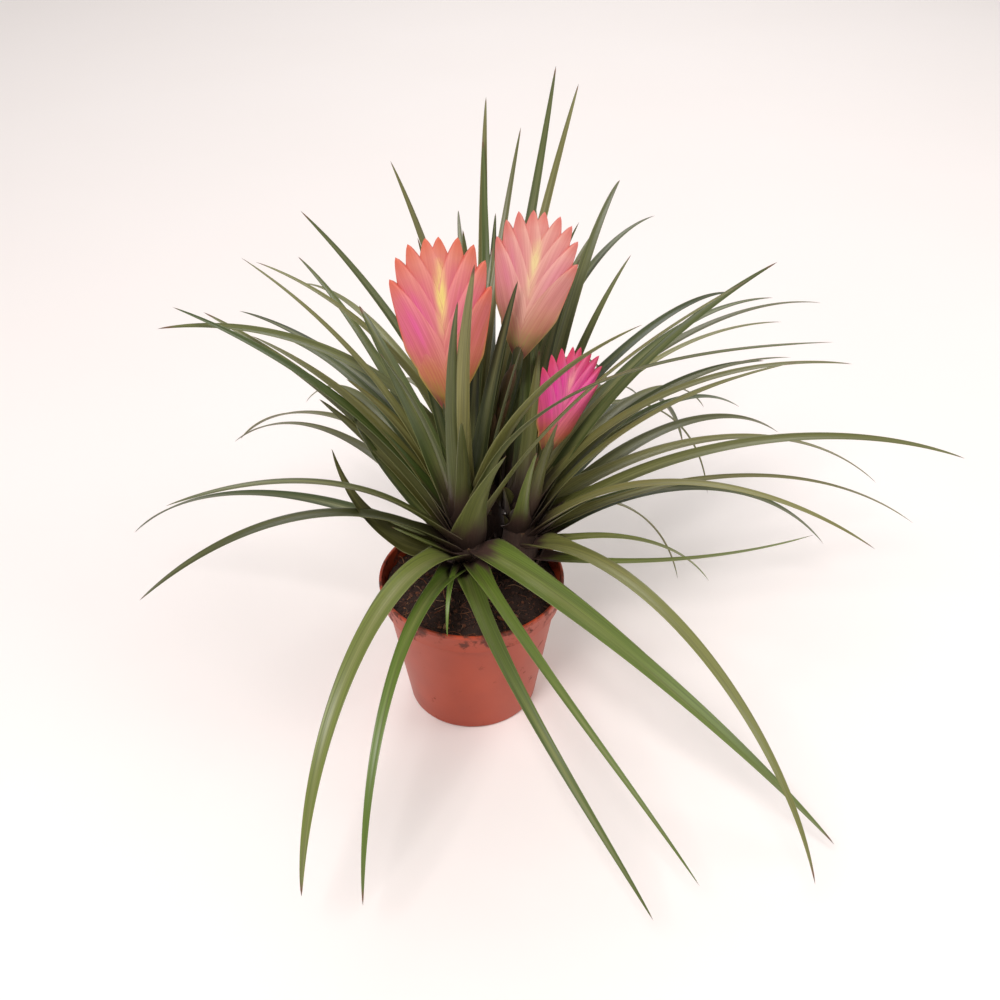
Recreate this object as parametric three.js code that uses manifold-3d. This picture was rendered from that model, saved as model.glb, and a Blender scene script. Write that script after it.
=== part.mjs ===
// Pink quill (Tillandsia cyanea) growing in a 13 cm nursery pot.
// Millimetres, +Z up. The origin is the middle of the pot's underside, and -Y is the plant's front.
// Three rosettes stand in plain holes in the soil. Each carries one flower stem, which stands in a bore in
// its crown and ends inside the base of a flat quill of pink bracts.

import * as THREE from 'three';
import * as BufferGeometryUtils from 'three/addons/utils/BufferGeometryUtils.js';
import Module from 'manifold-3d';

const wasm = await Module();
wasm.setup();

const GAP = 0.3;

// Pot: a thin moulded wall that tapers to a flat bottom, with a wider collar round the rim.
const POT_HEIGHT = 105;
const RIM_RADIUS = 65;
const COLLAR_RADIUS = 63;
const COLLAR_HEIGHT = 17;
const WALL_TOP_RADIUS = 60;
const BASE_RADIUS = 46;
const POT_WALL = 1.4;
const POT_SIDES = 36;
const DRAIN_COUNT = 8;
const DRAIN_RADIUS = 4;
const DRAIN_CIRCLE = 34;

// Soil: fills the pot to just under the rim and rises a little towards the plant.
const SOIL_EDGE_HEIGHT = 94;
const SOIL_MOUND = 7;
const SOIL_ROUGHNESS = 1.6;
const SOIL_SIDES = 36;
const SOIL_RINGS = [1, 0.8, 0.6, 0.4, 0.2];

// Crown: the short stem of a rosette. Its foot is sunk in the soil.
const CROWN_FOOT = 78;
const CROWN_FOOT_RADIUS = 9;
const CROWN_SHOULDER = 122;
const CROWN_SHOULDER_RADIUS = 16;
const CROWN_TOP = 158;
const CROWN_TOP_RADIUS = 8;
const CROWN_SIDES = 12;

// Leaf: a channelled blade on a wide sheath, drawn out to a fine tip.
const LEAF_STEPS = 64;
const LEAF_RINGS = [0, 5, 14, 26, 38, 51, 64];
const YOUNG_LEAF_RINGS = [0, 10, 34, 64];
const YOUNG_LEAF_LENGTH = 190;
const LEAF_ROOT_RADIUS = 7;
const LEAF_THICKNESS = 1.8;
const SHEATH_WIDTH = 30;
const SHEATH_FOLD = 34;
const BLADE_FOLD = 20;

// Flower stem and quill.
const SCAPE_FOOT = 112;
const SCAPE_RADIUS = 3.6;
const SCAPE_TIP_RADIUS = 2.6;
const SCAPE_SIDES = 8;
const SCAPE_STEPS = 6;
const QUILL_FOOT_RADIUS = 4.2;
const BRACT_COUNT = 9;
const BASE_BRACT_COUNT = 3;
const BRACT_STEPS = 4;
const BRACT_RIDGE = -0.5;

// A cell of the clearance grid. Blades of two rosettes never share a cell or touch cells next to each other.
const CELL = 3.5;
const GRID_SPAN = [250, 250, 125];
const GRID_START = [-440, -440, -10];

const radians = THREE.MathUtils.degToRad;

// Each rosette: its crown, its flower stem, its quill and its leaves.
// A leaf drawn by hand is [azimuth, sway, rise, fall, bend, length, width, root height, roll]: the blade leaves
// the crown at the azimuth and the angle "rise" above level, and reaches the angle "fall" at its tip. Only a few
// leaves have a roll, which turns the blade about its own line.
const ROSETTES = [
    {
        name: 'front', owner: 1, crown: [-3, -4], seed: 11, start: 20, leaves: 12, hearts: 5,
        quill: { base: [-13, -3, 248], height: 114, halfWidth: 31, lean: -2, turn: 4, back: 3 },
        drawn: [
            [-52, 36, 36, -48, 0.45, 325, 23, 134],
            [-77, 44, 24, -58, 0.6, 285, 10, 126],
            [-87, 46, 16, -58, 0.8, 290, 13, 120],
            [241, 12, 54, -76, 0.9, 310, 19, 122],
            [247, 16, 33, -74, 1.1, 280, 12, 118],
            [250, 20, 34, -78, 1.1, 74, 6, 124],
            [166, -5, 74, 20, 1.0, 205, 18, 134],
            [158, -5, 60, 16, 0.9, 235, 16, 138],
            [151, 10, 78, 32, 1.0, 137, 19, 140],
            [154, -3, 51, 29, 1.0, 136, 18, 136],
            [206, -1, 21, 83, 0.91, 149, 22, 128, 40],
            [221, -2, 44, 45, 1.0, 78, 12, 128],
            [-99, 30, 81, 70, 0.84, 239, 17, 150],
            [-112, 40, 80, 70, 0.97, 212, 15, 150],
            [-84, 40, 72, 60, 0.84, 130, 29, 128],
            [-53, 12, 84, 39, 0.77, 255, 14, 148, 18],
            [-29, 4, 74, 41, 0.71, 289, 12, 142],
            [-60, 39, 82, 13, 0.86, 341, 10, 146],
            [214, 6, 62, 6, 1.0, 250, 15, 132],
            [40, 10, 86, 65, 1.1, 178, 19, 146],
            [148, -19, 85, 43, 0.65, 170, 22, 144, 20],
            [151, 21, 34, 76, 1.25, 129, 19, 132],
        ],
    },
    {
        name: 'right', owner: 2, crown: [34, 10], seed: 23, start: 65, leaves: 27, hearts: 3,
        quill: { base: [51, 6, 206], height: 74, halfWidth: 24, lean: 20, turn: 24, back: 4 },
        drawn: [
            [-58, 2, 40, -66, 1.1, 345, 14, 124],
            [26, 3, 43, -46, 0.6, 372, 12, 138],
            [20, -2, 25, -42, 0.8, 362, 8, 126],
            [-20, -9, 68, -23, 0.79, 263, 11, 126],
            [4, 12, 19, -60, 1.0, 160, 8, 120],
            [-27, -17, 13, 42, 0.96, 228, 8, 114],
            [3, 3, 82, -10, 0.75, 266, 12, 140],
            [-3, -11, 73, 21, 0.75, 231, 11, 132],
            [36, -4, 42, -8, 0.6, 230, 10, 146],
            [42, -20, 30, -76, 0.6, 215, 8, 132],
            [-59, 22, 77, 74, 0.52, 108, 18, 138, 18],
            [-98, 16, 66, 63, 0.53, 120, 16, 134, -25],
            [37, -11, 82, -13, 0.6, 258, 9, 146],
            [72, 40, 62, 40, 0.41, 204, 9, 147],
            [70, 19, 45, 51, 0.99, 170, 12, 147],
            [77, 39, 72, 24, 0.4, 212, 11, 147],
        ],
    },
    {
        name: 'back', owner: 4, crown: [12, 37], seed: 39, start: 110, leaves: 22, hearts: 7,
        quill: { base: [33, 36, 262], height: 98, halfWidth: 27, lean: 8, turn: -10, back: 6 },
        drawn: [
            [30, 12, 80, 26, 0.8, 330, 13, 140],
            [39, -4, 66, 22, 0.9, 320, 13, 138],
            [12, 10, 74, 16, 0.8, 320, 12, 140],
            [48, -18, 58, -78, 0.7, 330, 9, 134],
            [70, -14, 56, -70, 0.8, 330, 10, 132],
        ],
    },
];

const FINISH = {
    pot: { color: 0xb9563a, roughness: 0.55 },
    soil: { color: 0x2e1f18, roughness: 0.95 },
    rosette: { color: 0x44562f, roughness: 0.5 },
    scape: { color: 0x6d5a35, roughness: 0.6 },
    quill: { color: 0xe8787c, roughness: 0.5 },
};

// Seeded draw, the same each time: a number from 0 up to 1.
function makeDraw(seed) {
    let state = seed;
    return () => {
        state = (Math.imul(state, 1664525) + 1013904223) >>> 0;
        return state / 4294967296;
    };
}

// A closed solid from rings of points. A ring of one point closes the skin in a tip. Between rings of four,
// every second face is split the other way, so that both sides of a thin blade fold along the same lines.
function skin(rings) {
    const points = rings.flat();
    const starts = [];
    let count = 0;
    for (const ring of rings) {
        starts.push(count);
        count += ring.length;
    }
    const triangles = [];
    for (let i = 0; i < rings.length - 1; i++) {
        const sides = Math.max(rings[i].length, rings[i + 1].length);
        const here = (j) => starts[i] + (j % rings[i].length);
        const next = (j) => starts[i + 1] + (j % rings[i + 1].length);
        for (let j = 0; j < sides; j++) {
            const leans = sides === 4 && j % 2 === 1 && rings[i + 1].length > 1;
            if (rings[i].length > 1) triangles.push([here(j), here(j + 1), next(leans ? j : j + 1)]);
            if (rings[i + 1].length > 1) triangles.push([here(leans ? j + 1 : j), next(j + 1), next(j)]);
        }
    }
    capRing(rings[0].length, starts[0], triangles, true);
    capRing(rings.at(-1).length, starts.at(-1), triangles, false);
    return solidFromTriangles(points, triangles);
}

// A ring of four is split from its second point to its fourth, so that a channelled one stays inside itself.
function capRing(sides, start, triangles, isFirst) {
    const shift = sides === 4 ? 1 : 0;
    for (let j = 1; j < sides - 1; j++) {
        const corner = [start + shift, start + (j + shift) % sides, start + (j + 1 + shift) % sides];
        triangles.push(isFirst ? corner.reverse() : corner);
    }
}

function solidFromTriangles(points, triangles) {
    const vertProperties = new Float32Array(points.flatMap((p) => [p.x, p.y, p.z]));
    const triVerts = new Uint32Array(triangles.flat());
    return new wasm.Manifold(new wasm.Mesh({ numProp: 3, vertProperties, triVerts }));
}

function solidFromGeometry(geometry) {
    const bare = geometry.clone();
    bare.deleteAttribute('normal');
    bare.deleteAttribute('uv');
    const merged = BufferGeometryUtils.mergeVertices(bare, 1e-4);
    const vertProperties = new Float32Array(merged.attributes.position.array);
    const triVerts = new Uint32Array(merged.index.array);
    return new wasm.Manifold(new wasm.Mesh({ numProp: 3, vertProperties, triVerts }));
}

// The largest body of a solid: scraps that a cut leaves loose are dropped.
function largestBody(solid) {
    return solid.decompose().reduce((best, body) => (body.volume() > best.volume() ? body : best));
}

function meshFromSolid(name, solid, finish) {
    const { vertProperties, triVerts } = solid.getMesh();
    const geometry = new THREE.BufferGeometry();
    geometry.setAttribute('position', new THREE.BufferAttribute(new Float32Array(vertProperties), 3));
    geometry.setIndex(new THREE.BufferAttribute(new Uint32Array(triVerts), 1));
    geometry.computeVertexNormals();
    const mesh = new THREE.Mesh(geometry, new THREE.MeshStandardMaterial({ ...finish, metalness: 0 }));
    mesh.name = name;
    return mesh;
}

// A solid turned about +Z. The profile is [radius, height] from the bottom up along the outside.
function turned(profile, sides) {
    const outline = profile.map(([radius, height]) => new THREE.Vector2(radius, height));
    const geometry = new THREE.LatheGeometry(outline, sides);
    geometry.rotateX(Math.PI / 2);
    return solidFromGeometry(geometry);
}

function uprightRod(x, y, bottom, top, radius, sides) {
    const geometry = new THREE.CylinderGeometry(radius, radius, top - bottom, sides);
    geometry.rotateX(Math.PI / 2);
    geometry.translate(x, y, (top + bottom) / 2);
    return solidFromGeometry(geometry);
}

// Pot
const COLLAR_FOOT = POT_HEIGHT - COLLAR_HEIGHT;

function wallRadius(height) {
    return BASE_RADIUS + (WALL_TOP_RADIUS - BASE_RADIUS) * (height / COLLAR_FOOT);
}

function makePot() {
    const profile = [
        [0, 0],
        [BASE_RADIUS - 2, 0],
        [BASE_RADIUS, 2],
        [WALL_TOP_RADIUS, COLLAR_FOOT],
        [COLLAR_RADIUS, COLLAR_FOOT + 1],
        [RIM_RADIUS, POT_HEIGHT - 3],
        [RIM_RADIUS, POT_HEIGHT],
        [RIM_RADIUS - POT_WALL - 0.6, POT_HEIGHT],
        [COLLAR_RADIUS - POT_WALL, COLLAR_FOOT + 2.5],
        [WALL_TOP_RADIUS - POT_WALL, COLLAR_FOOT],
        [BASE_RADIUS - POT_WALL, POT_WALL + 1],
        [BASE_RADIUS - 3, POT_WALL],
        [0, POT_WALL],
    ];
    let pot = turned(profile, POT_SIDES);
    for (let i = 0; i < DRAIN_COUNT; i++) {
        const angle = (2 * Math.PI * i) / DRAIN_COUNT;
        const x = DRAIN_CIRCLE * Math.cos(angle);
        const y = DRAIN_CIRCLE * Math.sin(angle);
        pot = pot.subtract(uprightRod(x, y, -1, POT_WALL + 1, DRAIN_RADIUS, 10));
    }
    return pot;
}

// Soil
function soilHeight(fraction, angle) {
    const mound = SOIL_MOUND * (1 - fraction * fraction);
    const lumps = Math.sin(3 * angle + 5 * fraction) + Math.sin(7 * angle - 9 * fraction);
    return SOIL_EDGE_HEIGHT + mound + 0.5 * SOIL_ROUGHNESS * lumps * (1 - fraction * 0.4);
}

function soilRing(radius, heightAt) {
    return Array.from({ length: SOIL_SIDES }, (_, i) => {
        const angle = (2 * Math.PI * i) / SOIL_SIDES;
        return new THREE.Vector3(radius * Math.cos(angle), radius * Math.sin(angle), heightAt(angle));
    });
}

function makeSoil() {
    const floor = POT_WALL + 1 + GAP;
    const inset = POT_WALL + GAP + 0.25;
    const collarInside = COLLAR_RADIUS - inset;
    const rings = [
        soilRing(wallRadius(floor) - inset, () => floor),
        soilRing(WALL_TOP_RADIUS - inset, () => COLLAR_FOOT),
        soilRing(WALL_TOP_RADIUS - inset, () => COLLAR_FOOT + 3.2),
    ];
    for (const fraction of SOIL_RINGS) {
        rings.push(soilRing(collarInside * fraction, (angle) => soilHeight(fraction, angle)));
    }
    rings.push([new THREE.Vector3(0, 0, SOIL_EDGE_HEIGHT + SOIL_MOUND)]);
    let soil = skin(rings);
    for (const { crown } of ROSETTES) {
        const radius = CROWN_FOOT_RADIUS + 2 * GAP;
        soil = soil.subtract(uprightRod(crown[0], crown[1], CROWN_FOOT - GAP, POT_HEIGHT + 20, radius, 20));
    }
    return soil;
}

// Clearance grid: which rosettes or flowers own each cell.
const FLOWER = 8;
const cells = new Uint8Array(GRID_SPAN[0] * GRID_SPAN[1] * GRID_SPAN[2]);

function cellOf(point) {
    return [
        Math.floor((point.x - GRID_START[0]) / CELL),
        Math.floor((point.y - GRID_START[1]) / CELL),
        Math.floor((point.z - GRID_START[2]) / CELL),
    ];
}

function claimCells(points, owner) {
    for (const point of points) {
        const [i, j, k] = cellOf(point);
        for (let a = i - 1; a <= i + 1; a++) {
            for (let b = j - 1; b <= j + 1; b++) {
                for (let c = k - 1; c <= k + 1; c++) {
                    cells[(a * GRID_SPAN[1] + b) * GRID_SPAN[2] + c] |= owner;
                }
            }
        }
    }
}

function isFree(points, owner) {
    return points.every((point) => {
        const [i, j, k] = cellOf(point);
        return (cells[(i * GRID_SPAN[1] + j) * GRID_SPAN[2] + k] & ~owner) === 0;
    });
}

// Leaf: its stations along the centre line, from the root to the tip.
function leafStations(leaf, crown) {
    const [azimuth, sway, rise, fall, bend, length, width, rootHeight, roll = 0] = leaf;
    const start = radians(azimuth);
    const position = new THREE.Vector3(
        crown[0] + LEAF_ROOT_RADIUS * Math.cos(start),
        crown[1] + LEAF_ROOT_RADIUS * Math.sin(start),
        rootHeight,
    );
    const stations = [];
    for (let i = 0; i <= LEAF_STEPS; i++) {
        const u = i / LEAF_STEPS;
        const heading = radians(azimuth + sway * u);
        const climb = radians(rise + (fall - rise) * Math.pow(u, bend));
        const along = new THREE.Vector3(
            Math.cos(climb) * Math.cos(heading),
            Math.cos(climb) * Math.sin(heading),
            Math.sin(climb),
        );
        const across = new THREE.Vector3(Math.sin(heading), -Math.cos(heading), 0);
        const up = new THREE.Vector3(
            -Math.sin(climb) * Math.cos(heading),
            -Math.sin(climb) * Math.sin(heading),
            Math.cos(climb),
        );
        const tilt = radians(roll * Math.min(1, 3 * u));
        across.applyAxisAngle(along, -tilt);
        up.applyAxisAngle(along, -tilt);
        if (i > 0) position.addScaledVector(along, length / LEAF_STEPS);
        stations.push({ u, position: position.clone(), across, up, ...leafSection(u, width) });
    }
    return stations;
}

// Half width, fold of the channel and thickness at the fraction u of the length. The root is narrow where it
// is sunk in the crown, the sheath is the widest stretch, and the blade narrows from it to the tip.
function leafSection(u, width) {
    const sheath = Math.exp(-Math.pow((u - 0.05) / 0.09, 2));
    const root = Math.min(1, 0.4 + 12 * u);
    const blade = Math.pow(1 - u, 0.62) * (1 + 0.12 * Math.sin(Math.PI * Math.min(1, 2.2 * u)));
    const sheathWidth = Math.min(SHEATH_WIDTH, width * 1.9);
    return {
        half: 0.5 * root * (width * blade + (sheathWidth - width) * sheath),
        fold: radians(BLADE_FOLD + (SHEATH_FOLD - BLADE_FOLD) * Math.exp(-Math.pow(u / 0.14, 2))),
        thickness: LEAF_THICKNESS * (1 - 0.5 * u),
    };
}

// Channelled ring: left edge, bottom of the channel, right edge, keel.
function leafRing(station) {
    const { position, across, up, half, fold, thickness } = station;
    const reach = half * Math.cos(fold);
    const lift = half * Math.sin(fold);
    return [
        position.clone().addScaledVector(across, -reach).addScaledVector(up, lift),
        position.clone().addScaledVector(up, 0.5 * thickness),
        position.clone().addScaledVector(across, reach).addScaledVector(up, lift),
        position.clone().addScaledVector(up, -0.5 * thickness),
    ];
}

function makeLeaf(leaf, crown) {
    const stations = leafStations(leaf, crown);
    const places = leaf[5] > YOUNG_LEAF_LENGTH ? LEAF_RINGS : YOUNG_LEAF_RINGS;
    const rings = places.slice(0, -1).map((place) => leafRing(stations[place]));
    rings.push([stations.at(-1).position]);
    return skin(rings);
}

// Points all over a blade, close enough together that no two blades can cross between them.
function leafPoints(leaf, crown) {
    const points = [];
    for (const station of leafStations(leaf, crown).slice(1)) {
        const [left, , right] = leafRing(station);
        points.push(left, station.position, right);
        points.push(left.clone().lerp(station.position, 0.5), right.clone().lerp(station.position, 0.5));
    }
    return points;
}

// A blade clears the pot, the soil and the surface that the pot stands on.
const LEAF_FLOOR = 5;
const RIM_CLEARANCE = 5;

function clearsPot(points, crown) {
    return points.every((point) => {
        const distance = Math.hypot(point.x, point.y);
        const nearCrown = Math.hypot(point.x - crown[0], point.y - crown[1]) < CROWN_SHOULDER_RADIUS + 4;
        const lowest = distance < RIM_RADIUS + RIM_CLEARANCE ? POT_HEIGHT + RIM_CLEARANCE : LEAF_FLOOR;
        return point.z > (nearCrown ? SOIL_EDGE_HEIGHT + SOIL_MOUND + 2 : lowest);
    });
}

// Rule for the leaves that aren't drawn by hand: from the old outer ones, long and drooping, to the young
// inner ones, upright, each turned by the golden angle from the one before.
// The leaves at the front right are all drawn, so a leaf of the rule that would grow there grows at the back
// instead.
const GOLDEN_ANGLE = 137.508;
const DRAWN_SECTOR = [-105, -12];

function isInDrawnSector(azimuth) {
    const heading = ((((azimuth + 180) % 360) + 360) % 360) - 180;
    return heading > DRAWN_SECTOR[0] && heading < DRAWN_SECTOR[1];
}

function ruleLeaf(rosette, index, draw) {
    const age = index / (rosette.leaves - 1);
    const spread = () => draw() - 0.5;
    const free = rosette.start + GOLDEN_ANGLE * index + 16 * spread();
    return [
        isInDrawnSector(free) ? -free : free,
        30 * spread(),
        34 + 46 * age + 16 * spread(),
        -66 + 104 * age + 30 * spread(),
        0.9 + 0.4 * spread(),
        335 - 125 * age + 80 * spread(),
        15.5 - 3 * age + 5 * spread(),
        116 + 32 * age,
    ];
}

// The youngest leaves stand nearly upright round the flower stem.
function heartLeaf(rosette, index, draw) {
    const spread = () => draw() - 0.5;
    return [
        rosette.start + 60 + GOLDEN_ANGLE * index + 20 * spread(),
        16 * spread(),
        80 + 8 * spread(),
        66 + 20 * spread(),
        1,
        150 + 90 * spread(),
        15 + 4 * spread(),
        147 + 6 * spread(),
    ];
}

// Where a blade would cross something, it is turned aside or lifted, the smallest change first.
const TURNS = [0, 8, -8, 16, -16, 26, -26, 38, -38, 52, -52];
const LIFTS = [0, 8, 16, 26, 38];

function placeLeaf(leaf, rosette, isFromRule) {
    for (const lift of LIFTS) {
        for (const turn of TURNS) {
            const moved = [...leaf];
            moved[0] += turn;
            if (isFromRule && isInDrawnSector(moved[0])) continue;
            moved[2] = Math.min(86, leaf[2] + lift);
            moved[3] = Math.min(Math.max(moved[2], leaf[3]), leaf[3] + lift);
            const points = leafPoints(moved, rosette.crown);
            if (clearsPot(points, rosette.crown) && isFree(points, rosette.owner)) {
                claimCells(points, rosette.owner);
                return moved;
            }
        }
    }
    return null;
}

// Flower stem: a gentle curve from the crown to the base of the quill.
function scapeCurve(rosette) {
    const foot = new THREE.Vector3(rosette.crown[0], rosette.crown[1], SCAPE_FOOT);
    const top = new THREE.Vector3(...rosette.quill.base);
    const middle = new THREE.Vector3(foot.x, foot.y, 0.5 * (foot.z + top.z) + 12);
    return new THREE.QuadraticBezierCurve3(foot, middle, top);
}

// A round tube along a curve. Both ends run on straight past it by "overshoot".
function tubeAlong(curve, steps, radiusAt, sides, overshoot) {
    const reference = new THREE.Vector3(0, -1, 0);
    const ringAt = (u, shift) => {
        const along = curve.getTangent(u);
        const centre = curve.getPoint(u).addScaledVector(along, shift);
        const side = new THREE.Vector3().crossVectors(along, reference).normalize();
        const front = new THREE.Vector3().crossVectors(side, along).normalize();
        const radius = radiusAt(u);
        return Array.from({ length: sides }, (_, j) => {
            const angle = (2 * Math.PI * j) / sides;
            return centre.clone()
                .addScaledVector(side, radius * Math.cos(angle))
                .addScaledVector(front, -radius * Math.sin(angle));
        });
    };
    const rings = [ringAt(0, -overshoot)];
    for (let i = 1; i < steps; i++) {
        rings.push(ringAt(i / steps, 0));
    }
    rings.push(ringAt(1, overshoot));
    return skin(rings);
}

function scapeRadius(u) {
    return SCAPE_RADIUS + (SCAPE_TIP_RADIUS - SCAPE_RADIUS) * u;
}

function makeScape(rosette) {
    const curve = scapeCurve(rosette);
    return tubeAlong(curve, SCAPE_STEPS, scapeRadius, SCAPE_SIDES, 0);
}

// The same stem with the clearance added, to cut the bore in the crown and the socket in the quill.
function makeScapeBore(rosette) {
    const curve = scapeCurve(rosette);
    return tubeAlong(curve, SCAPE_STEPS, (u) => scapeRadius(u) + 1.1 * GAP, SCAPE_SIDES, GAP);
}

// Quill: its own frame has x across the paddle, y through it and z up along it.
function quillMatrix({ base, lean, turn, back }) {
    const placed = new THREE.Matrix4().makeTranslation(...base);
    placed.multiply(new THREE.Matrix4().makeRotationZ(radians(turn)));
    placed.multiply(new THREE.Matrix4().makeRotationY(radians(lean)));
    placed.multiply(new THREE.Matrix4().makeRotationX(radians(-back)));
    return placed;
}

// Bract number k of the quill, from the lowest and outermost to the topmost. The base bracts below them
// have negative numbers and are shorter.
function bractShape(quill, k) {
    const f = Math.max(0, k / (BRACT_COUNT - 1));
    const side = k % 2 === 0 ? 1 : -1;
    const shorter = k < 0 ? 0.62 + 0.13 * k : 1;
    const tipX = side * quill.halfWidth * (1 - 0.97 * Math.pow(f, 1.7)) * shorter;
    const tipZ = quill.height * (0.7 + 0.3 * (1 - Math.pow(1 - f, 2.4))) * shorter;
    const rootZ = quill.height * (-0.05 + 0.3 * f);
    const root = new THREE.Vector2(0, rootZ);
    const tip = new THREE.Vector2(tipX, tipZ);
    const bulge = new THREE.Vector2(tipX * 0.32, rootZ + 0.52 * (tipZ - rootZ));
    return { f, side, shorter, curve: new THREE.QuadraticBezierCurve(root, bulge, tip) };
}

function bractHalfWidth(u, quill, shorter) {
    const spread = Math.pow(Math.sin(Math.PI * Math.pow(0.1 + 0.9 * u, 1.3)), 0.8);
    return quill.halfWidth * 0.4 * spread * shorter;
}

function bractHalfThickness(u, f) {
    return (5.4 - 2.6 * f) * Math.pow(1 - u, 0.55) * (0.55 + 0.45 * Math.sin(Math.PI * Math.min(1, 1.6 * u)));
}

function makeBract(quill, k) {
    const { f, side, shorter, curve } = bractShape(quill, k);
    const rings = [];
    for (let i = 0; i < BRACT_STEPS; i++) {
        const u = i / BRACT_STEPS;
        const centre = curve.getPoint(u);
        const along = curve.getTangent(u);
        const outward = new THREE.Vector2(along.y, -along.x).multiplyScalar(side);
        const half = Math.max(2, bractHalfWidth(u, quill, shorter));
        const thick = Math.max(0.8, bractHalfThickness(u, f));
        const outer = centre.clone().addScaledVector(outward, half);
        const inner = centre.clone().addScaledVector(outward, -half);
        const ridge = centre.clone().addScaledVector(outward, BRACT_RIDGE * half);
        const ring = [
            new THREE.Vector3(outer.x, 0, outer.y),
            new THREE.Vector3(ridge.x, -thick, ridge.y),
            new THREE.Vector3(inner.x, 0, inner.y),
            new THREE.Vector3(ridge.x, thick, ridge.y),
        ];
        rings.push(side > 0 ? ring.reverse() : ring);
    }
    const tip = curve.getPoint(1);
    rings.push([new THREE.Vector3(tip.x, 0, tip.y)]);
    return skin(rings);
}

function makeQuill(rosette) {
    const { quill } = rosette;
    const heart = turned([
        [0, -10],
        [QUILL_FOOT_RADIUS, -10],
        [QUILL_FOOT_RADIUS, 0.12 * quill.height],
        [0.5 * QUILL_FOOT_RADIUS, 0.45 * quill.height],
        [0, 0.5 * quill.height],
    ], 8);
    let body = heart;
    for (let k = -BASE_BRACT_COUNT; k < BRACT_COUNT; k++) {
        body = body.add(makeBract(quill, k));
    }
    return body.transform(quillMatrix(quill).elements);
}

// Points all over a quill, for the clearance grid.
function quillPoints(quill) {
    const matrix = quillMatrix(quill);
    const points = [];
    for (let k = -BASE_BRACT_COUNT; k < BRACT_COUNT; k++) {
        const { f, side, shorter, curve } = bractShape(quill, k);
        for (let i = 0; i <= 30; i++) {
            const u = i / 30;
            const centre = curve.getPoint(u);
            const half = bractHalfWidth(u, quill, shorter);
            const thick = bractHalfThickness(u, f);
            for (const across of [-1, -0.5, 0, 0.5, 1]) {
                for (const through of [-1, 1]) {
                    const x = centre.x + across * half;
                    points.push(new THREE.Vector3(x, through * thick, centre.y).applyMatrix4(matrix));
                }
            }
        }
    }
    return points;
}

function scapePoints(rosette) {
    const curve = scapeCurve(rosette);
    const points = [];
    for (let i = 0; i <= 60; i++) {
        const point = curve.getPoint(i / 60);
        if (point.z > CROWN_TOP + 8) points.push(point);
    }
    return points;
}

// Each flower claims its room first, then the leaves drawn by hand, then those that follow the rule.
function placeAllLeaves() {
    for (const rosette of ROSETTES) {
        claimCells(quillPoints(rosette.quill), FLOWER);
        claimCells(scapePoints(rosette), FLOWER);
        rosette.placed = [];
    }
    for (const rosette of ROSETTES) {
        const column = [];
        for (let height = SOIL_EDGE_HEIGHT; height < CROWN_TOP; height += CELL) {
            for (let i = 0; i < 12; i++) {
                const angle = (2 * Math.PI * i) / 12;
                const reach = CROWN_SHOULDER_RADIUS;
                column.push(new THREE.Vector3(rosette.crown[0] + reach * Math.cos(angle),
                    rosette.crown[1] + reach * Math.sin(angle), height));
            }
        }
        claimCells(column, rosette.owner);
    }
    for (const rosette of ROSETTES) {
        for (const leaf of rosette.drawn) {
            const placed = placeLeaf(leaf, rosette, false);
            if (placed) rosette.placed.push(placed);
        }
    }
    for (const rosette of ROSETTES) {
        rosette.draw = makeDraw(rosette.seed);
    }
    for (const rosette of ROSETTES) {
        const heartDraw = makeDraw(rosette.seed + 100);
        for (let i = 0; i < rosette.hearts; i++) {
            const placed = placeLeaf(heartLeaf(rosette, i, heartDraw), rosette, false);
            if (placed) rosette.placed.push(placed);
        }
    }
    const most = Math.max(...ROSETTES.map((rosette) => rosette.leaves));
    for (let i = 0; i < most; i++) {
        for (const rosette of ROSETTES.filter(({ leaves }) => i < leaves)) {
            const placed = placeLeaf(ruleLeaf(rosette, i, rosette.draw), rosette, true);
            if (placed) rosette.placed.push(placed);
        }
    }
}

function makeRosette(rosette) {
    const [x, y] = rosette.crown;
    let body = turned([
        [0, CROWN_FOOT],
        [CROWN_FOOT_RADIUS, CROWN_FOOT],
        [CROWN_FOOT_RADIUS, SOIL_EDGE_HEIGHT + SOIL_MOUND + 2],
        [CROWN_SHOULDER_RADIUS, CROWN_SHOULDER],
        [CROWN_TOP_RADIUS, CROWN_TOP],
        [0, CROWN_TOP],
    ], CROWN_SIDES).translate([x, y, 0]);
    for (const leaf of rosette.placed) {
        body = body.add(makeLeaf(leaf, rosette.crown));
    }
    return largestBody(body.subtract(makeScapeBore(rosette)));
}

placeAllLeaves();

const plant = new THREE.Group();
plant.name = 'pink_quill';
plant.add(meshFromSolid('pot', makePot(), FINISH.pot));
plant.add(meshFromSolid('soil', makeSoil(), FINISH.soil));
for (const rosette of ROSETTES) {
    plant.add(meshFromSolid(`rosette_${rosette.name}`, makeRosette(rosette), FINISH.rosette));
    plant.add(meshFromSolid(`scape_${rosette.name}`, makeScape(rosette), FINISH.scape));
    const quill = largestBody(makeQuill(rosette).subtract(makeScapeBore(rosette)));
    plant.add(meshFromSolid(`quill_${rosette.name}`, quill, FINISH.quill));
}

export default plant;
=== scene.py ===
# %% [markdown]
# # A pink quill in its pot
#
# This lesson dresses a plain solid model of a potted pink quill (Tillandsia cyanea). The real plant is a tuft
# of dark, channelled leaves in three rosettes. Each rosette carries a flat paddle of overlapping pink bracts
# on a short stem, and all of it stands in dark peat in a thin moulded pot.
# The solids give the place and size of everything. Here each of them is replaced by a finer piece that keeps
# its form: smooth leaves, bracts that overlap like shingles, crumbs of peat and a pot with a rounded rim.

import math

import bmesh
import bpy
import numpy as np
from mathutils import Matrix, Vector, noise


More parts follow.
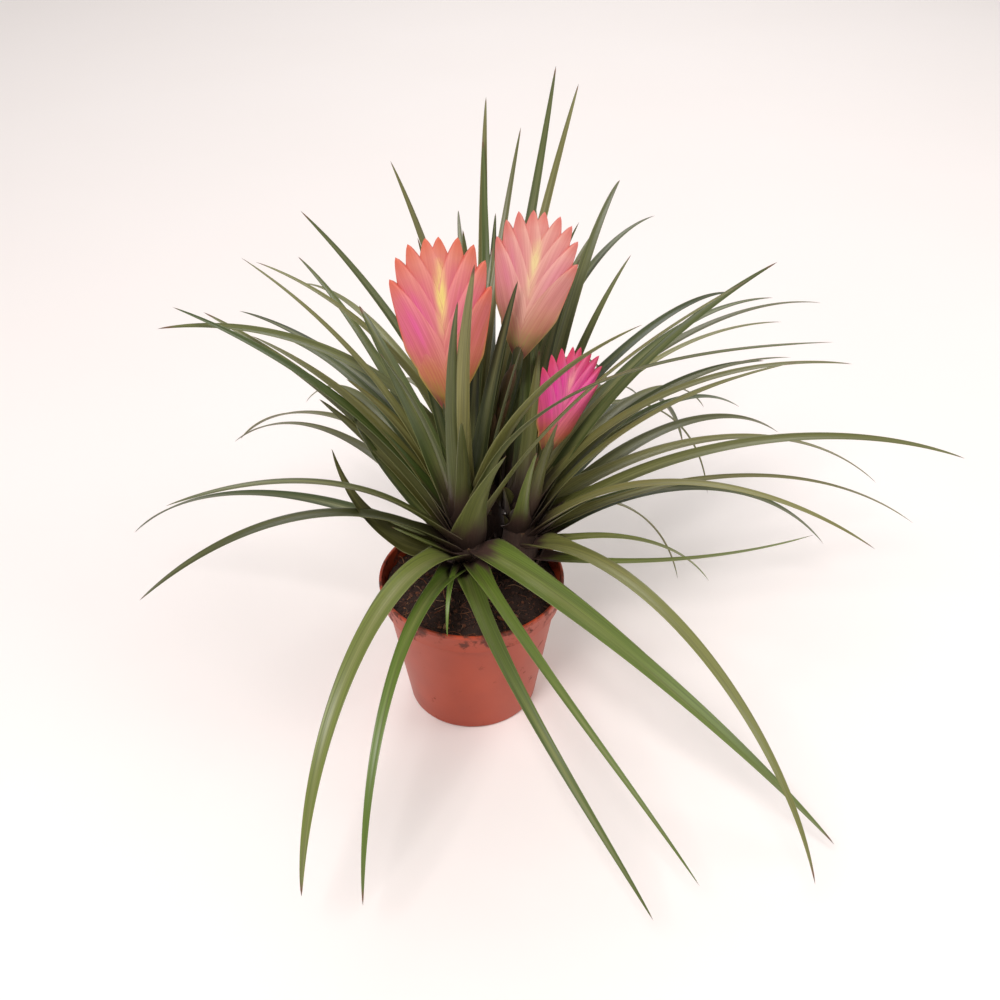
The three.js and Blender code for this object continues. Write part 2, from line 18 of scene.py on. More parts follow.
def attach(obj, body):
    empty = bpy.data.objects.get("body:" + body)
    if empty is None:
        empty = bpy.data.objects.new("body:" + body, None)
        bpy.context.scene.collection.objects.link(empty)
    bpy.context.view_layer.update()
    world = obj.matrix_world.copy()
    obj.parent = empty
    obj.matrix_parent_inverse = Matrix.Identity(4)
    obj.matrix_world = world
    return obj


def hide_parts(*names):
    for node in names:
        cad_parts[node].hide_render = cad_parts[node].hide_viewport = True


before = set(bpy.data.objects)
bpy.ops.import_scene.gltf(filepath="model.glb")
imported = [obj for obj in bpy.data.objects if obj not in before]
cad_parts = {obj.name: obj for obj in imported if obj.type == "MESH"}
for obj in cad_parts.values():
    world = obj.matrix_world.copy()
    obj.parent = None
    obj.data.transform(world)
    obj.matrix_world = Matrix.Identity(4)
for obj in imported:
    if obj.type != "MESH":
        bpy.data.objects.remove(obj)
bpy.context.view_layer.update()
MM = 0.001
print("CAD nodes:", ", ".join(sorted(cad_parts)))

# %% [markdown]
# ## Helpers for colours and nodes
#
# Colours are written as the sRGB hex values that a paint program shows, but a shader mixes linear light, so
# one function turns the first into the second. Node trees could be drawn by hand, yet a script is easier to
# read when one helper adds a node, sets it up and links it. Another one looks up a socket's identifier,
# because a modifier stores its inputs under that and not under the name that people read.

# %% Linear colours, nodes and sockets
def linear(code):
    """Linear colour from sRGB hex."""
    channels = [int(code[i:i + 2], 16) / 255 for i in (1, 3, 5)]
    return (*[c / 12.92 if c <= 0.04045 else ((c + 0.055) / 1.055) ** 2.4 for c in channels], 1.0)


def pick(sockets, key):
    """A node's socket by its place or its name, leaving out the ones its settings switch off."""
    if isinstance(key, int):
        return sockets[key]
    return next(s for s in sockets if s.enabled and s.name == key)


def feed(tree, node, inputs):
    """Gives a node its inputs. Each is a value, a socket, or a node that gives its first output."""
    for key, value in inputs.items():
        if isinstance(value, bpy.types.Node):
            value = next(s for s in value.outputs if s.enabled)
        if isinstance(value, bpy.types.NodeSocket):
            tree.links.new(value, pick(node.inputs, key))
        else:
            pick(node.inputs, key).default_value = value


def add(tree, kind, inputs=None, **settings):
    """Adds a node with its settings and its inputs."""
    node = tree.nodes.new(kind)
    for name, value in settings.items():
        setattr(node, name, value)
    feed(tree, node, inputs or {})
    return node


def socket_id(tree, name):
    """Identifier of a tree's input."""
    return next(s.identifier for s in tree.interface.items_tree if s.in_out == "INPUT" and s.name == name)


print("coral, linear:", [round(c, 3) for c in linear("#e8787c")[:3]])

# %% [markdown]
# ## The plant's measures
#
# Every size below is in millimetres and is the same as in the solid model, so that a fine leaf runs along the
# same line as its plain one. The leaves that can be told apart from the front are written one by one as
# azimuth, sway, rise, fall, bend, length, width, root height and, for a few, a roll about their own line. The
# rest follow a rule further down.

# %% Measures of the pot, the crowns and the leaves, in mm and degrees
POT_HEIGHT = 105
RIM_RADIUS = 65
COLLAR_RADIUS = 63
COLLAR_FOOT = 88
WALL_TOP_RADIUS = 60
BASE_RADIUS = 46
POT_WALL = 1.4
SOIL_EDGE_HEIGHT = 94
SOIL_MOUND = 7
CROWN_SHOULDER_RADIUS = 16
CROWN_TOP = 158
LEAF_STEPS = 64
LEAF_ROOT_RADIUS = 7
SHEATH_WIDTH = 30
SHEATH_FOLD = 34
BLADE_FOLD = 20
SCAPE_FOOT = 112
BRACT_COUNT = 9
BASE_BRACT_COUNT = 3
print("pot:", 2 * RIM_RADIUS, "mm across and", POT_HEIGHT, "mm high, with peat up to", SOIL_EDGE_HEIGHT, "mm")

# %% The three rosettes, their quills and the leaves that are written out
ROSETTES = [
    {
        "name": "front", "owner": 1, "crown": (-3, -4), "seed": 11, "start": 20, "leaves": 12, "hearts": 5,
        "quill": {"base": (-13, -3, 248), "height": 114, "half_width": 31, "lean": -2, "turn": 4, "back": 3},
        "drawn": [
            (-52, 36, 36, -48, 0.45, 325, 23, 134),
            (-77, 44, 24, -58, 0.6, 285, 10, 126),
            (-87, 46, 16, -58, 0.8, 290, 13, 120),
            (241, 12, 54, -76, 0.9, 310, 19, 122),
            (247, 16, 33, -74, 1.1, 280, 12, 118),
            (250, 20, 34, -78, 1.1, 74, 6, 124),
            (166, -5, 74, 20, 1.0, 205, 18, 134),
            (158, -5, 60, 16, 0.9, 235, 16, 138),
            (151, 10, 78, 32, 1.0, 137, 19, 140),
            (154, -3, 51, 29, 1.0, 136, 18, 136),
            (206, -1, 21, 83, 0.91, 149, 22, 128, 40),
            (221, -2, 44, 45, 1.0, 78, 12, 128),
            (-99, 30, 81, 70, 0.84, 239, 17, 150),
            (-112, 40, 80, 70, 0.97, 212, 15, 150),
            (-84, 40, 72, 60, 0.84, 130, 29, 128),
            (-53, 12, 84, 39, 0.77, 255, 14, 148, 18),
            (-29, 4, 74, 41, 0.71, 289, 12, 142),
            (-60, 39, 82, 13, 0.86, 341, 10, 146),
            (214, 6, 62, 6, 1.0, 250, 15, 132),
            (40, 10, 86, 65, 1.1, 178, 19, 146),
            (148, -19, 85, 43, 0.65, 170, 22, 144, 20),
            (151, 21, 34, 76, 1.25, 129, 19, 132),
        ],
    },
    {
        "name": "right", "owner": 2, "crown": (34, 10), "seed": 23, "start": 65, "leaves": 27, "hearts": 3,
        "quill": {"base": (51, 6, 206), "height": 74, "half_width": 24, "lean": 20, "turn": 24, "back": 4},
        "drawn": [
            (-58, 2, 40, -66, 1.1, 345, 14, 124),
            (26, 3, 43, -46, 0.6, 372, 12, 138),
            (20, -2, 25, -42, 0.8, 362, 8, 126),
            (-20, -9, 68, -23, 0.79, 263, 11, 126),
            (4, 12, 19, -60, 1.0, 160, 8, 120),
            (-27, -17, 13, 42, 0.96, 228, 8, 114),
            (3, 3, 82, -10, 0.75, 266, 12, 140),
            (-3, -11, 73, 21, 0.75, 231, 11, 132),
            (36, -4, 42, -8, 0.6, 230, 10, 146),
            (42, -20, 30, -76, 0.6, 215, 8, 132),
            (-59, 22, 77, 74, 0.52, 108, 18, 138, 18),
            (-98, 16, 66, 63, 0.53, 120, 16, 134, -25),
            (37, -11, 82, -13, 0.6, 258, 9, 146),
            (72, 40, 62, 40, 0.41, 204, 9, 147),
            (70, 19, 45, 51, 0.99, 170, 12, 147),
            (77, 39, 72, 24, 0.4, 212, 11, 147),
        ],
    },
    {
        "name": "back", "owner": 4, "crown": (12, 37), "seed": 39, "start": 110, "leaves": 22, "hearts": 7,
        "quill": {"base": (33, 36, 262), "height": 98, "half_width": 27, "lean": 8, "turn": -10, "back": 6},
        "drawn": [
            (30, 12, 80, 26, 0.8, 330, 13, 140),
            (39, -4, 66, 22, 0.9, 320, 13, 138),
            (12, 10, 74, 16, 0.8, 320, 12, 140),
            (48, -18, 58, -78, 0.7, 330, 9, 134),
            (70, -14, 56, -70, 0.8, 330, 10, 132),
        ],
    },
]
print("rosettes:", len(ROSETTES), "with", sum(len(r["drawn"]) for r in ROSETTES), "leaves written out")

# %% [markdown]
# ## The line of a leaf
#
# A real blade leaves the crown steeply, arches over and ends drooping. One way to draw it is a curve with
# handles placed by hand, but a hundred leaves would need hundreds of points. Here a leaf is a walk instead:
# the climb angle goes from "rise" at the root to "fall" at the tip while the heading turns by "sway", and
# small steps in that direction give the centre line. Each step also knows which way is across the blade
# and which way is up from it, which the skin needs later.

# %% Walk along a leaf
def leaf_walk(leaf, crown):
    """Centre line of a leaf, with the directions along, across and up at each step. Millimetres."""
    azimuth, sway, rise, fall, bend, length, width, root, *roll = leaf
    u = np.arange(LEAF_STEPS + 1) / LEAF_STEPS
    heading = np.radians(azimuth + sway * u)
    climb = np.radians(rise + (fall - rise) * u ** bend)
    flat = np.zeros_like(u)
    along = np.stack([np.cos(climb) * np.cos(heading), np.cos(climb) * np.sin(heading), np.sin(climb)], 1)
    across = np.stack([np.sin(heading), -np.cos(heading), flat], 1)
    up = np.stack([-np.sin(climb) * np.cos(heading), -np.sin(climb) * np.sin(heading), np.cos(climb)], 1)
    if roll:
        # The roll is complete a third of the way up.
        tilt = np.radians(roll[0] * np.minimum(1, 3 * u))[:, None]
        across, up = across * np.cos(tilt) + up * np.sin(tilt), up * np.cos(tilt) - across * np.sin(tilt)
    steps = along * length / LEAF_STEPS
    first = math.radians(azimuth)
    steps[0] = (crown[0] + LEAF_ROOT_RADIUS * math.cos(first),
                crown[1] + LEAF_ROOT_RADIUS * math.sin(first), root)
    return {"u": u, "centre": np.cumsum(steps, 0), "along": along, "across": across, "up": up}


def leaf_section(u, width):
    """Half width and fold angle of the channel at the fraction u of the length: broadest near the root, where
    it clasps the crown, narrow at the very root, and tapering to the tip."""
    sheath = np.exp(-((u - 0.05) / 0.09) ** 2)
    root = np.minimum(1, 0.4 + 12 * u)
    blade = (1 - u) ** 0.62 * (1 + 0.12 * np.sin(np.pi * np.minimum(1, 2.2 * u)))
    sheath_width = min(SHEATH_WIDTH, width * 1.9)
    half = 0.5 * root * (width * blade + (sheath_width - width) * sheath)
    fold = np.radians(BLADE_FOLD + (SHEATH_FOLD - BLADE_FOLD) * np.exp(-(u / 0.14) ** 2))
    return half, fold


example = leaf_walk(ROSETTES[0]["drawn"][0], ROSETTES[0]["crown"])
print("the long front leaf ends at", example["centre"][-1].round(), "mm")

# %% [markdown]
# ## The line of a bract
#
# A bract is a boat-shaped leaf folded along its keel. The bracts stand in two ranks, left and right, so the
# whole head is flat. In the quill's own frame x runs across the paddle, y through it and z up along it, and
# each bract follows a curve with three control points from the axis out to its tip. The lowest bracts reach
# farthest sideways and the topmost stands upright.

# %% Curve of a bract
def quill_matrix(quill):
    """From the quill's own frame to the plant's: leaned, turned and set on its stem."""
    turned = Matrix.Rotation(math.radians(quill["turn"]), 4, "Z")
    leaned = Matrix.Rotation(math.radians(quill["lean"]), 4, "Y")
    tipped = Matrix.Rotation(math.radians(-quill["back"]), 4, "X")
    return Matrix.Translation(quill["base"]) @ turned @ leaned @ tipped


def bract_line(quill, k, u, shorter=None):
    """Points and directions of bract k in the plane of the paddle, and how it differs from its neighbours."""
    f = max(0, k / (BRACT_COUNT - 1))
    side = 1 if k % 2 == 0 else -1
    shorter = shorter or (0.62 + 0.13 * k if k < 0 else 1)
    tip = np.array([side * quill["half_width"] * (1 - 0.97 * f ** 1.7) * shorter,
                    quill["height"] * (0.7 + 0.3 * (1 - (1 - f) ** 2.4)) * shorter])
    root = np.array([0, quill["height"] * (-0.05 + 0.3 * f)])
    bulge = np.array([tip[0] * 0.32, root[1] + 0.52 * (tip[1] - root[1])])
    v = u[:, None]
    centre = (1 - v) ** 2 * root + 2 * v * (1 - v) * bulge + v ** 2 * tip
    along = 2 * (1 - v) * (bulge - root) + 2 * v * (tip - bulge)
    along /= np.linalg.norm(along, axis=1)[:, None]
    return {"f": f, "side": side, "shorter": shorter, "centre": centre, "along": along}


def bract_half_width(u, quill, shorter):
    """Half width of a bract of the solid model, at the fraction u of its length."""
    spread = np.abs(np.sin(np.pi * (0.1 + 0.9 * u) ** 1.3)) ** 0.8
    return quill["half_width"] * 0.4 * spread * shorter


lowest = bract_line(ROSETTES[0]["quill"], 0, np.array([0.0, 1.0]))
print("the lowest large bract ends at x, z =", lowest["centre"][-1].round(1), "mm")

# %% [markdown]
# ## Room for every leaf
#
# Leaves of a real plant slide past each other. Leaves from a formula would cut through one another, and
# solving that with physics would be slow and hard to repeat. The solid model uses a simple trick, and
# this cell repeats it: space is divided in small cells, a flower or a leaf claims the cells that it passes,
# and a new leaf is turned or lifted a little until it finds cells that no other rosette owns.

# %% Clearance grid
CELL = 3.5
GRID_SPAN = (250, 250, 125)
GRID_START = np.array([-440, -440, -10])
FLOWER = 8  # owner of the quills and stems, beside 1, 2 and 4 of the rosettes
CROWN_CLEARANCE = 4
RIM_CLEARANCE = 5
SOIL_CLEARANCE = 2
LEAF_FLOOR = 5
TURNS = (0, 8, -8, 16, -16, 26, -26, 38, -38, 52, -52)
LIFTS = (0, 8, 16, 26, 38)
cells = np.zeros(GRID_SPAN, np.uint8)


def cells_of(points):
    """Cells that hold the points."""
    return np.floor((points - GRID_START) / CELL).astype(int)


def claim(points, owner):
    """Marks the cells of the points, and the cells round them, with their owner."""
    i, j, k = cells_of(points).T
    for a in (-1, 0, 1):
        for b in (-1, 0, 1):
            for c in (-1, 0, 1):
                cells[i + a, j + b, k + c] |= owner


def is_free(points, owner):
    """Whether nobody else owns a cell of the points."""
    i, j, k = cells_of(points).T
    return not np.any(cells[i, j, k] & (255 - owner))


def clears_pot(points, crown):
    """Whether a leaf stays above the soil near its crown, above the rim over the pot, and off the floor."""
    from_crown = np.hypot(points[:, 0] - crown[0], points[:, 1] - crown[1])
    near_crown = from_crown < CROWN_SHOULDER_RADIUS + CROWN_CLEARANCE
    over_pot = np.hypot(points[:, 0], points[:, 1]) < RIM_RADIUS + RIM_CLEARANCE
    lowest = np.where(over_pot, POT_HEIGHT + RIM_CLEARANCE, LEAF_FLOOR)
    lowest = np.where(near_crown, SOIL_EDGE_HEIGHT + SOIL_MOUND + SOIL_CLEARANCE, lowest)
    return np.all(points[:, 2] > lowest)


print("grid of", cells.size, "cells of", CELL, "mm")

# %% Points that stand for a leaf, a quill and a stem in the grid
def leaf_points(leaf, crown):
    """Points on five lines along a blade."""
    walk = leaf_walk(leaf, crown)
    half, fold = leaf_section(walk["u"], leaf[6])
    reach = walk["across"] * (half * np.cos(fold))[:, None]
    lift = walk["up"] * (half * np.sin(fold))[:, None]
    middle = walk["centre"]
    left = middle - reach + lift
    right = middle + reach + lift
    every = [left, middle, right, (left + middle) / 2, (right + middle) / 2]
    return np.concatenate([line[1:] for line in every])


def quill_points(quill):
    """Points on both faces of every bract."""
    u = np.arange(31) / 30
    points = []
    for k in range(-BASE_BRACT_COUNT, BRACT_COUNT):
        line = bract_line(quill, k, u)
        half = bract_half_width(u, quill, line["shorter"])
        thick = (5.4 - 2.6 * line["f"]) * (1 - u) ** 0.55
        thick *= 0.55 + 0.45 * np.sin(np.pi * np.minimum(1, 1.6 * u))
        for across in (-1, -0.5, 0, 0.5, 1):
            for through in (-1, 1):
                x = line["centre"][:, 0] + across * half
                points.append(np.stack([x, through * thick, line["centre"][:, 1]], 1))
    local = np.concatenate(points)
    matrix = np.array(quill_matrix(quill))
    return local @ matrix[:3, :3].T + matrix[:3, 3]


def scape_line(rosette, u):
    """Centre line of a flower stem, and its direction."""
    foot = np.array([*rosette["crown"], SCAPE_FOOT], float)
    top = np.array(rosette["quill"]["base"], float)
    middle = np.array([foot[0], foot[1], 0.5 * (foot[2] + top[2]) + 12])
    v = u[:, None]
    centre = (1 - v) ** 2 * foot + 2 * v * (1 - v) * middle + v ** 2 * top
    along = 2 * (1 - v) * (middle - foot) + 2 * v * (top - middle)
    return centre, along / np.linalg.norm(along, axis=1)[:, None]


print("points on the front quill:", len(quill_points(ROSETTES[0]["quill"])))

# %% [markdown]
# ## Placing the leaves
#
# Young leaves of a bromeliad appear in the middle, each turned by about 137.5 degrees from the one before,
# the angle that also sets the seeds of a sunflower. So the rule goes from old outer leaves, long and
# drooping, to young ones, short and upright. The spread between leaves comes from a seeded draw, which gives
# the same plant on every run. The leaves at the front right are all written out, so a leaf of the rule that
# would grow there grows at the back instead.

# %% Leaves of the rule, and young ones round the stem
GOLDEN_ANGLE = 137.508
DRAWN_SECTOR = (-105, -12)


def seeded_draw(seed):
    """Numbers from 0 up to 1, the same ones on every run and in the solid model."""
    state = seed
    while True:
        state = (state * 1664525 + 1013904223) % 2 ** 32
        yield state / 2 ** 32


def in_drawn_sector(azimuth):
    """Whether a leaf of this direction would grow where all leaves are written out."""
    return DRAWN_SECTOR[0] < (azimuth + 180) % 360 - 180 < DRAWN_SECTOR[1]


def rule_leaf(rosette, index, draw):
    """A leaf of the rule, from the oldest at index 0 to the youngest."""
    age = index / (rosette["leaves"] - 1)
    azimuth = rosette["start"] + GOLDEN_ANGLE * index + 16 * (next(draw) - 0.5)
    return [
        -azimuth if in_drawn_sector(azimuth) else azimuth,
        30 * (next(draw) - 0.5),
        34 + 46 * age + 16 * (next(draw) - 0.5),
        -66 + 104 * age + 30 * (next(draw) - 0.5),
        0.9 + 0.4 * (next(draw) - 0.5),
        335 - 125 * age + 80 * (next(draw) - 0.5),
        15.5 - 3 * age + 5 * (next(draw) - 0.5),
        116 + 32 * age,
    ]


def heart_leaf(rosette, index, draw):
    """A young leaf that stands nearly upright round the flower stem."""
    return [
        rosette["start"] + 60 + GOLDEN_ANGLE * index + 20 * (next(draw) - 0.5),
        16 * (next(draw) - 0.5),
        80 + 8 * (next(draw) - 0.5),
        66 + 20 * (next(draw) - 0.5),
        1,
        150 + 90 * (next(draw) - 0.5),
        15 + 4 * (next(draw) - 0.5),
        147 + 6 * (next(draw) - 0.5),
    ]


first = seeded_draw(ROSETTES[0]["seed"])
print("first numbers of the front rosette's draw:", [round(next(first), 3) for i in range(3)])

# %% Find a free place for a leaf
STEEPEST = 86


def place_leaf(leaf, rosette, from_rule=False):
    """The leaf, turned and lifted to where it is free, or None where it is free nowhere."""
    for lift in LIFTS:
        for turn in TURNS:
            moved = list(leaf)
            moved[0] += turn
            if from_rule and in_drawn_sector(moved[0]):
                continue
            moved[2] = min(STEEPEST, leaf[2] + lift)
            moved[3] = min(max(moved[2], leaf[3]), leaf[3] + lift)
            points = leaf_points(moved, rosette["crown"])
            if clears_pot(points, rosette["crown"]) and is_free(points, rosette["owner"]):
                claim(points, rosette["owner"])
                return moved
    return None


def crown_points(crown):
    """Points round a crown, from the soil to its top."""
    angles = [2 * math.pi * i / 12 for i in range(12)]
    heights = np.arange(SOIL_EDGE_HEIGHT, CROWN_TOP, CELL)
    return np.array([(crown[0] + CROWN_SHOULDER_RADIUS * math.cos(angle),
                      crown[1] + CROWN_SHOULDER_RADIUS * math.sin(angle), height)
                     for height in heights for angle in angles])


print("written leaves stay out of the rule's way between", DRAWN_SECTOR, "degrees")

# %% Claim the flowers and crowns, then place written leaves, young ones and the rule's
for rosette in ROSETTES:
    claim(quill_points(rosette["quill"]), FLOWER)
    stem, _ = scape_line(rosette, np.arange(61) / 60)
    claim(stem[stem[:, 2] > CROWN_TOP + 8], FLOWER)
for rosette in ROSETTES:
    claim(crown_points(rosette["crown"]), rosette["owner"])
for rosette in ROSETTES:
    placed = [(place_leaf(leaf, rosette), number) for number, leaf in enumerate(rosette["drawn"])]
    rosette["placed"] = [(leaf, number) for leaf, number in placed if leaf]
for rosette in ROSETTES:
    rosette["draw"] = seeded_draw(rosette["seed"])
    heart_draw = seeded_draw(rosette["seed"] + 100)
    for i in range(rosette["hearts"]):
        leaf = place_leaf(heart_leaf(rosette, i, heart_draw), rosette)
        if leaf:
            rosette["placed"].append((leaf, None))
for i in range(max(r["leaves"] for r in ROSETTES)):
    for rosette in ROSETTES:
        if i < rosette["leaves"]:
            leaf = place_leaf(rule_leaf(rosette, i, rosette["draw"]), rosette, True)
            if leaf:
                rosette["placed"].append((leaf, None))
print("leaves placed:", {r["name"]: len(r["placed"]) for r in ROSETTES})

# %% [markdown]
# ## A skin for anything long
#
# A leaf, a stem and a crown are all a centre line with a section that changes along it. Modelling each by
# hand would repeat the same work, so one node tree makes them all. It takes loose edges whose points carry
# the width, fold, thickness and directions as attributes. It sweeps a ring of points along them, then puts
# every point in its place: x runs across the blade from edge to edge, y from its underside to its top.
# The inputs "Ring points" and "Trough" set how fine the ring is and how round the channel is.

# %% Start, sweep and end of a tree
TIP_MERGE = 2e-6  # metres: at a tip the ring has shrunk to one place, and its points become one


def open_tree(name, inputs):
    """A node tree that takes geometry and named inputs, and the node that gives them."""
    tree = bpy.data.node_groups.new(name, "GeometryNodeTree")
    tree.interface.new_socket("Geometry", in_out="INPUT", socket_type="NodeSocketGeometry")
    for label, kind, value in inputs:
        made = tree.interface.new_socket(label, in_out="INPUT", socket_type=kind)
        if value is not None:
            made.default_value = value
    tree.interface.new_socket("Geometry", in_out="OUTPUT", socket_type="NodeSocketGeometry")
    return tree, add(tree, "NodeGroupInput")


def sweep_ring(tree, start):
    """Sweeps a ring along the edges and keeps, at each point, the centre and the place on the ring."""
    here = add(tree, "GeometryNodeInputPosition")
    kept = add(tree, "GeometryNodeStoreNamedAttribute",
               {"Geometry": start.outputs["Geometry"], "Name": "centre", "Value": here},
               data_type="FLOAT_VECTOR", domain="POINT")
    lines = add(tree, "GeometryNodeMeshToCurve", {"Mesh": kept})
    marked = add(tree, "GeometryNodeCurvePrimitiveCircle", {"Resolution": start.outputs["Ring points"]})
    split = add(tree, "ShaderNodeSeparateXYZ", {0: here})
    for label, axis in (("ring_x", "X"), ("ring_y", "Y")):
        marked = add(tree, "GeometryNodeStoreNamedAttribute",
                     {"Geometry": marked, "Name": label, "Value": split.outputs[axis]},
                     data_type="FLOAT", domain="POINT")
    return add(tree, "GeometryNodeCurveToMesh", {"Curve": lines, "Profile Curve": marked, "Fill Caps": True})


def end_tree(tree, geometry, start):
    """Ends a tree in plain geometry with its material."""
    real = add(tree, "GeometryNodeRealizeInstances", {"Geometry": geometry})
    dressed = add(tree, "GeometryNodeSetMaterial", {"Geometry": real, "Material": start.outputs["Material"]})
    add(tree, "NodeGroupOutput", {"Geometry": dressed})


def close_skin(tree, swept, reach, lift, start):
    """Puts each point at its reach across the centre line and its lift above it, and closes the tips."""
    place = add(tree, "GeometryNodeInputNamedAttribute", {"Name": "centre"}, data_type="FLOAT_VECTOR")
    for label, distance in (("across", reach), ("up", lift)):
        way = add(tree, "GeometryNodeInputNamedAttribute", {"Name": label}, data_type="FLOAT_VECTOR")
        step = add(tree, "ShaderNodeVectorMath", {0: way, "Scale": distance}, operation="SCALE")
        place = add(tree, "ShaderNodeVectorMath", {0: place, 1: step})
    moved = add(tree, "GeometryNodeSetPosition", {"Geometry": swept, "Position": place})
    closed = add(tree, "GeometryNodeMergeByDistance", {"Geometry": moved, "Distance": TIP_MERGE})
    smooth = add(tree, "GeometryNodeSetShadeSmooth", {"Geometry": closed, "Shade Smooth": True})
    end_tree(tree, smooth, start)


print("tips closer than", TIP_MERGE * 1e6, "micrometres are merged")

# %% Node tree for the skin
skin_tree, start = open_tree("skin along a line", [
    ("Ring points", "NodeSocketInt", 14), ("Trough", "NodeSocketFloat", 1.35),
    ("Material", "NodeSocketMaterial", None)])
swept = sweep_ring(skin_tree, start)
ring_x, ring_y, half, fold, thickness = (
    add(skin_tree, "GeometryNodeInputNamedAttribute", {"Name": label}, data_type="FLOAT")
    for label in ("ring_x", "ring_y", "half", "fold", "thickness"))
cosine = add(skin_tree, "ShaderNodeMath", {0: fold}, operation="COSINE")
sine = add(skin_tree, "ShaderNodeMath", {0: fold}, operation="SINE")
reach = add(skin_tree, "ShaderNodeMath", {0: half, 1: cosine}, operation="MULTIPLY")
reach = add(skin_tree, "ShaderNodeMath", {0: reach, 1: ring_x}, operation="MULTIPLY")
size = add(skin_tree, "ShaderNodeMath", {0: ring_x}, operation="ABSOLUTE")
trough = add(skin_tree, "ShaderNodeMath", {0: size, 1: start.outputs["Trough"]}, operation="POWER")
lift = add(skin_tree, "ShaderNodeMath", {0: half, 1: sine}, operation="MULTIPLY")
lift = add(skin_tree, "ShaderNodeMath", {0: lift, 1: trough}, operation="MULTIPLY")
thick = add(skin_tree, "ShaderNodeMath", {0: thickness, 1: ring_y}, operation="MULTIPLY")
lift = add(skin_tree, "ShaderNodeMath", {0: thick, 1: 0.5, 2: lift}, operation="MULTIPLY_ADD")
close_skin(skin_tree, swept, reach, lift, start)
print("skin tree:", len(skin_tree.nodes), "nodes")

# %% [markdown]
# ## From lines to a plain mesh
#
# The tree needs a mesh of edges with named attributes on its points, and the finished piece has to be a plain
# mesh with nothing live on it. The first function below packs a list of lines in one such mesh. The second
# puts the tree on it, sets the inputs, keeps the evaluated result and throws the helper away.

# %% Pack lines in one mesh
DIRECTIONS = ("across", "up")
LENGTHS = ("half", "thickness", "depth", "run", "sheathed")  # given in mm, kept in metres


def line_mesh(name, lines):
    """One mesh of loose edges. Each line is a dict: the points of its centre in mm, and what they carry."""
    mesh = bpy.data.meshes.new(name)
    counts = [len(line["centre"]) for line in lines]
    starts = np.cumsum([0] + counts[:-1])
    edges = [(s + i, s + i + 1) for s, n in zip(starts, counts) for i in range(n - 1)]
    mesh.from_pydata(np.concatenate([line["centre"] for line in lines]) * MM, edges, [])
    for key in lines[0]:
        if key == "centre":
            continue
        shapes = [(n, 3) if key in DIRECTIONS else (n,) for n in counts]
        values = np.concatenate([np.broadcast_to(np.asarray(line[key], float), shape)
                                 for line, shape in zip(lines, shapes)])
        if key in LENGTHS:
            values = values * MM
        kind, slot = ("FLOAT_VECTOR", "vector") if values.ndim == 2 else ("FLOAT", "value")
        mesh.attributes.new(key, kind, "POINT").data.foreach_set(slot, values.astype(np.float32).ravel())
    return mesh


print("kept in metres on a line's points:", ", ".join(LENGTHS))

# %% Run a tree on a mesh, join pieces and report their size
def run_tree(name, mesh, tree, inputs):
    """A plain mesh object from a mesh and a node tree."""
    helper = bpy.data.objects.new(name + "_lines", mesh)
    bpy.context.collection.objects.link(helper)
    modifier = helper.modifiers.new("tree", "NODES")
    modifier.node_group = tree
    for label, value in inputs.items():
        modifier[socket_id(tree, label)] = value
    graph = bpy.context.evaluated_depsgraph_get()
    plain = bpy.data.meshes.new_from_object(helper.evaluated_get(graph), preserve_all_data_layers=True,
                                            depsgraph=graph)
    bpy.data.objects.remove(helper)
    plain.name = name
    piece = bpy.data.objects.new(name, plain)
    bpy.context.collection.objects.link(piece)
    return piece


def report(piece):
    """Prints a piece's triangles, volume and open edges. A negative volume would mean faces that point
    inwards.
    """
    body = bmesh.new()
    body.from_mesh(piece.data)
    loose = sum(1 for edge in body.edges if not edge.is_manifold)
    triangles = sum(len(face.verts) - 2 for face in body.faces)
    print(f"{piece.name}: {triangles} triangles, {body.calc_volume(signed=True) * 1e6:.1f} ml, "
          f"{loose} open edges")
    body.free()


def joined(name, pieces):
    """Several objects made one, with their materials and attributes."""
    with bpy.context.temp_override(active_object=pieces[0], object=pieces[0],
                                   selected_editable_objects=pieces, selected_objects=pieces):
        bpy.ops.object.join()
    pieces[0].name = pieces[0].data.name = name
    return pieces[0]


print("trees so far:", ", ".join(tree.name for tree in bpy.data.node_groups))

# %% [markdown]
# ## Leaf material
#
# The leaf of this plant is tough and leathery, with a waxy skin: satin, never mirror-like. Fine parallel
# veins run along it, about 0.8 mm apart, and the light grey scales between them take up water. The channel
# is paler than the flanks and the very edge catches the light as a thin pale line. Old leaves are dark
# blue-green and young ones olive. In the last few centimetres before the root the green gives way to dark
# purple-brown in long streaks, and the oldest tips are dry and brown. All of that follows the leaf, so the
# colours are mixed from the attributes that the tree left on it: "along" from root to tip, "run" for the
# distance from the root in metres, "sheathed" for how far its purple-brown reaches, and "ring_x" from edge to
# edge.

# %% Open a material, and draw veins along a blade
def open_material(name):
    """A new material, its node tree and its surface shader."""
    material = bpy.data.materials.new(name)
    material.use_nodes = True
    tree = material.node_tree
    tree.nodes.clear()
    shader = add(tree, "ShaderNodeBsdfPrincipled")
    add(tree, "ShaderNodeOutputMaterial", {"Surface": shader})
    return material, tree, shader


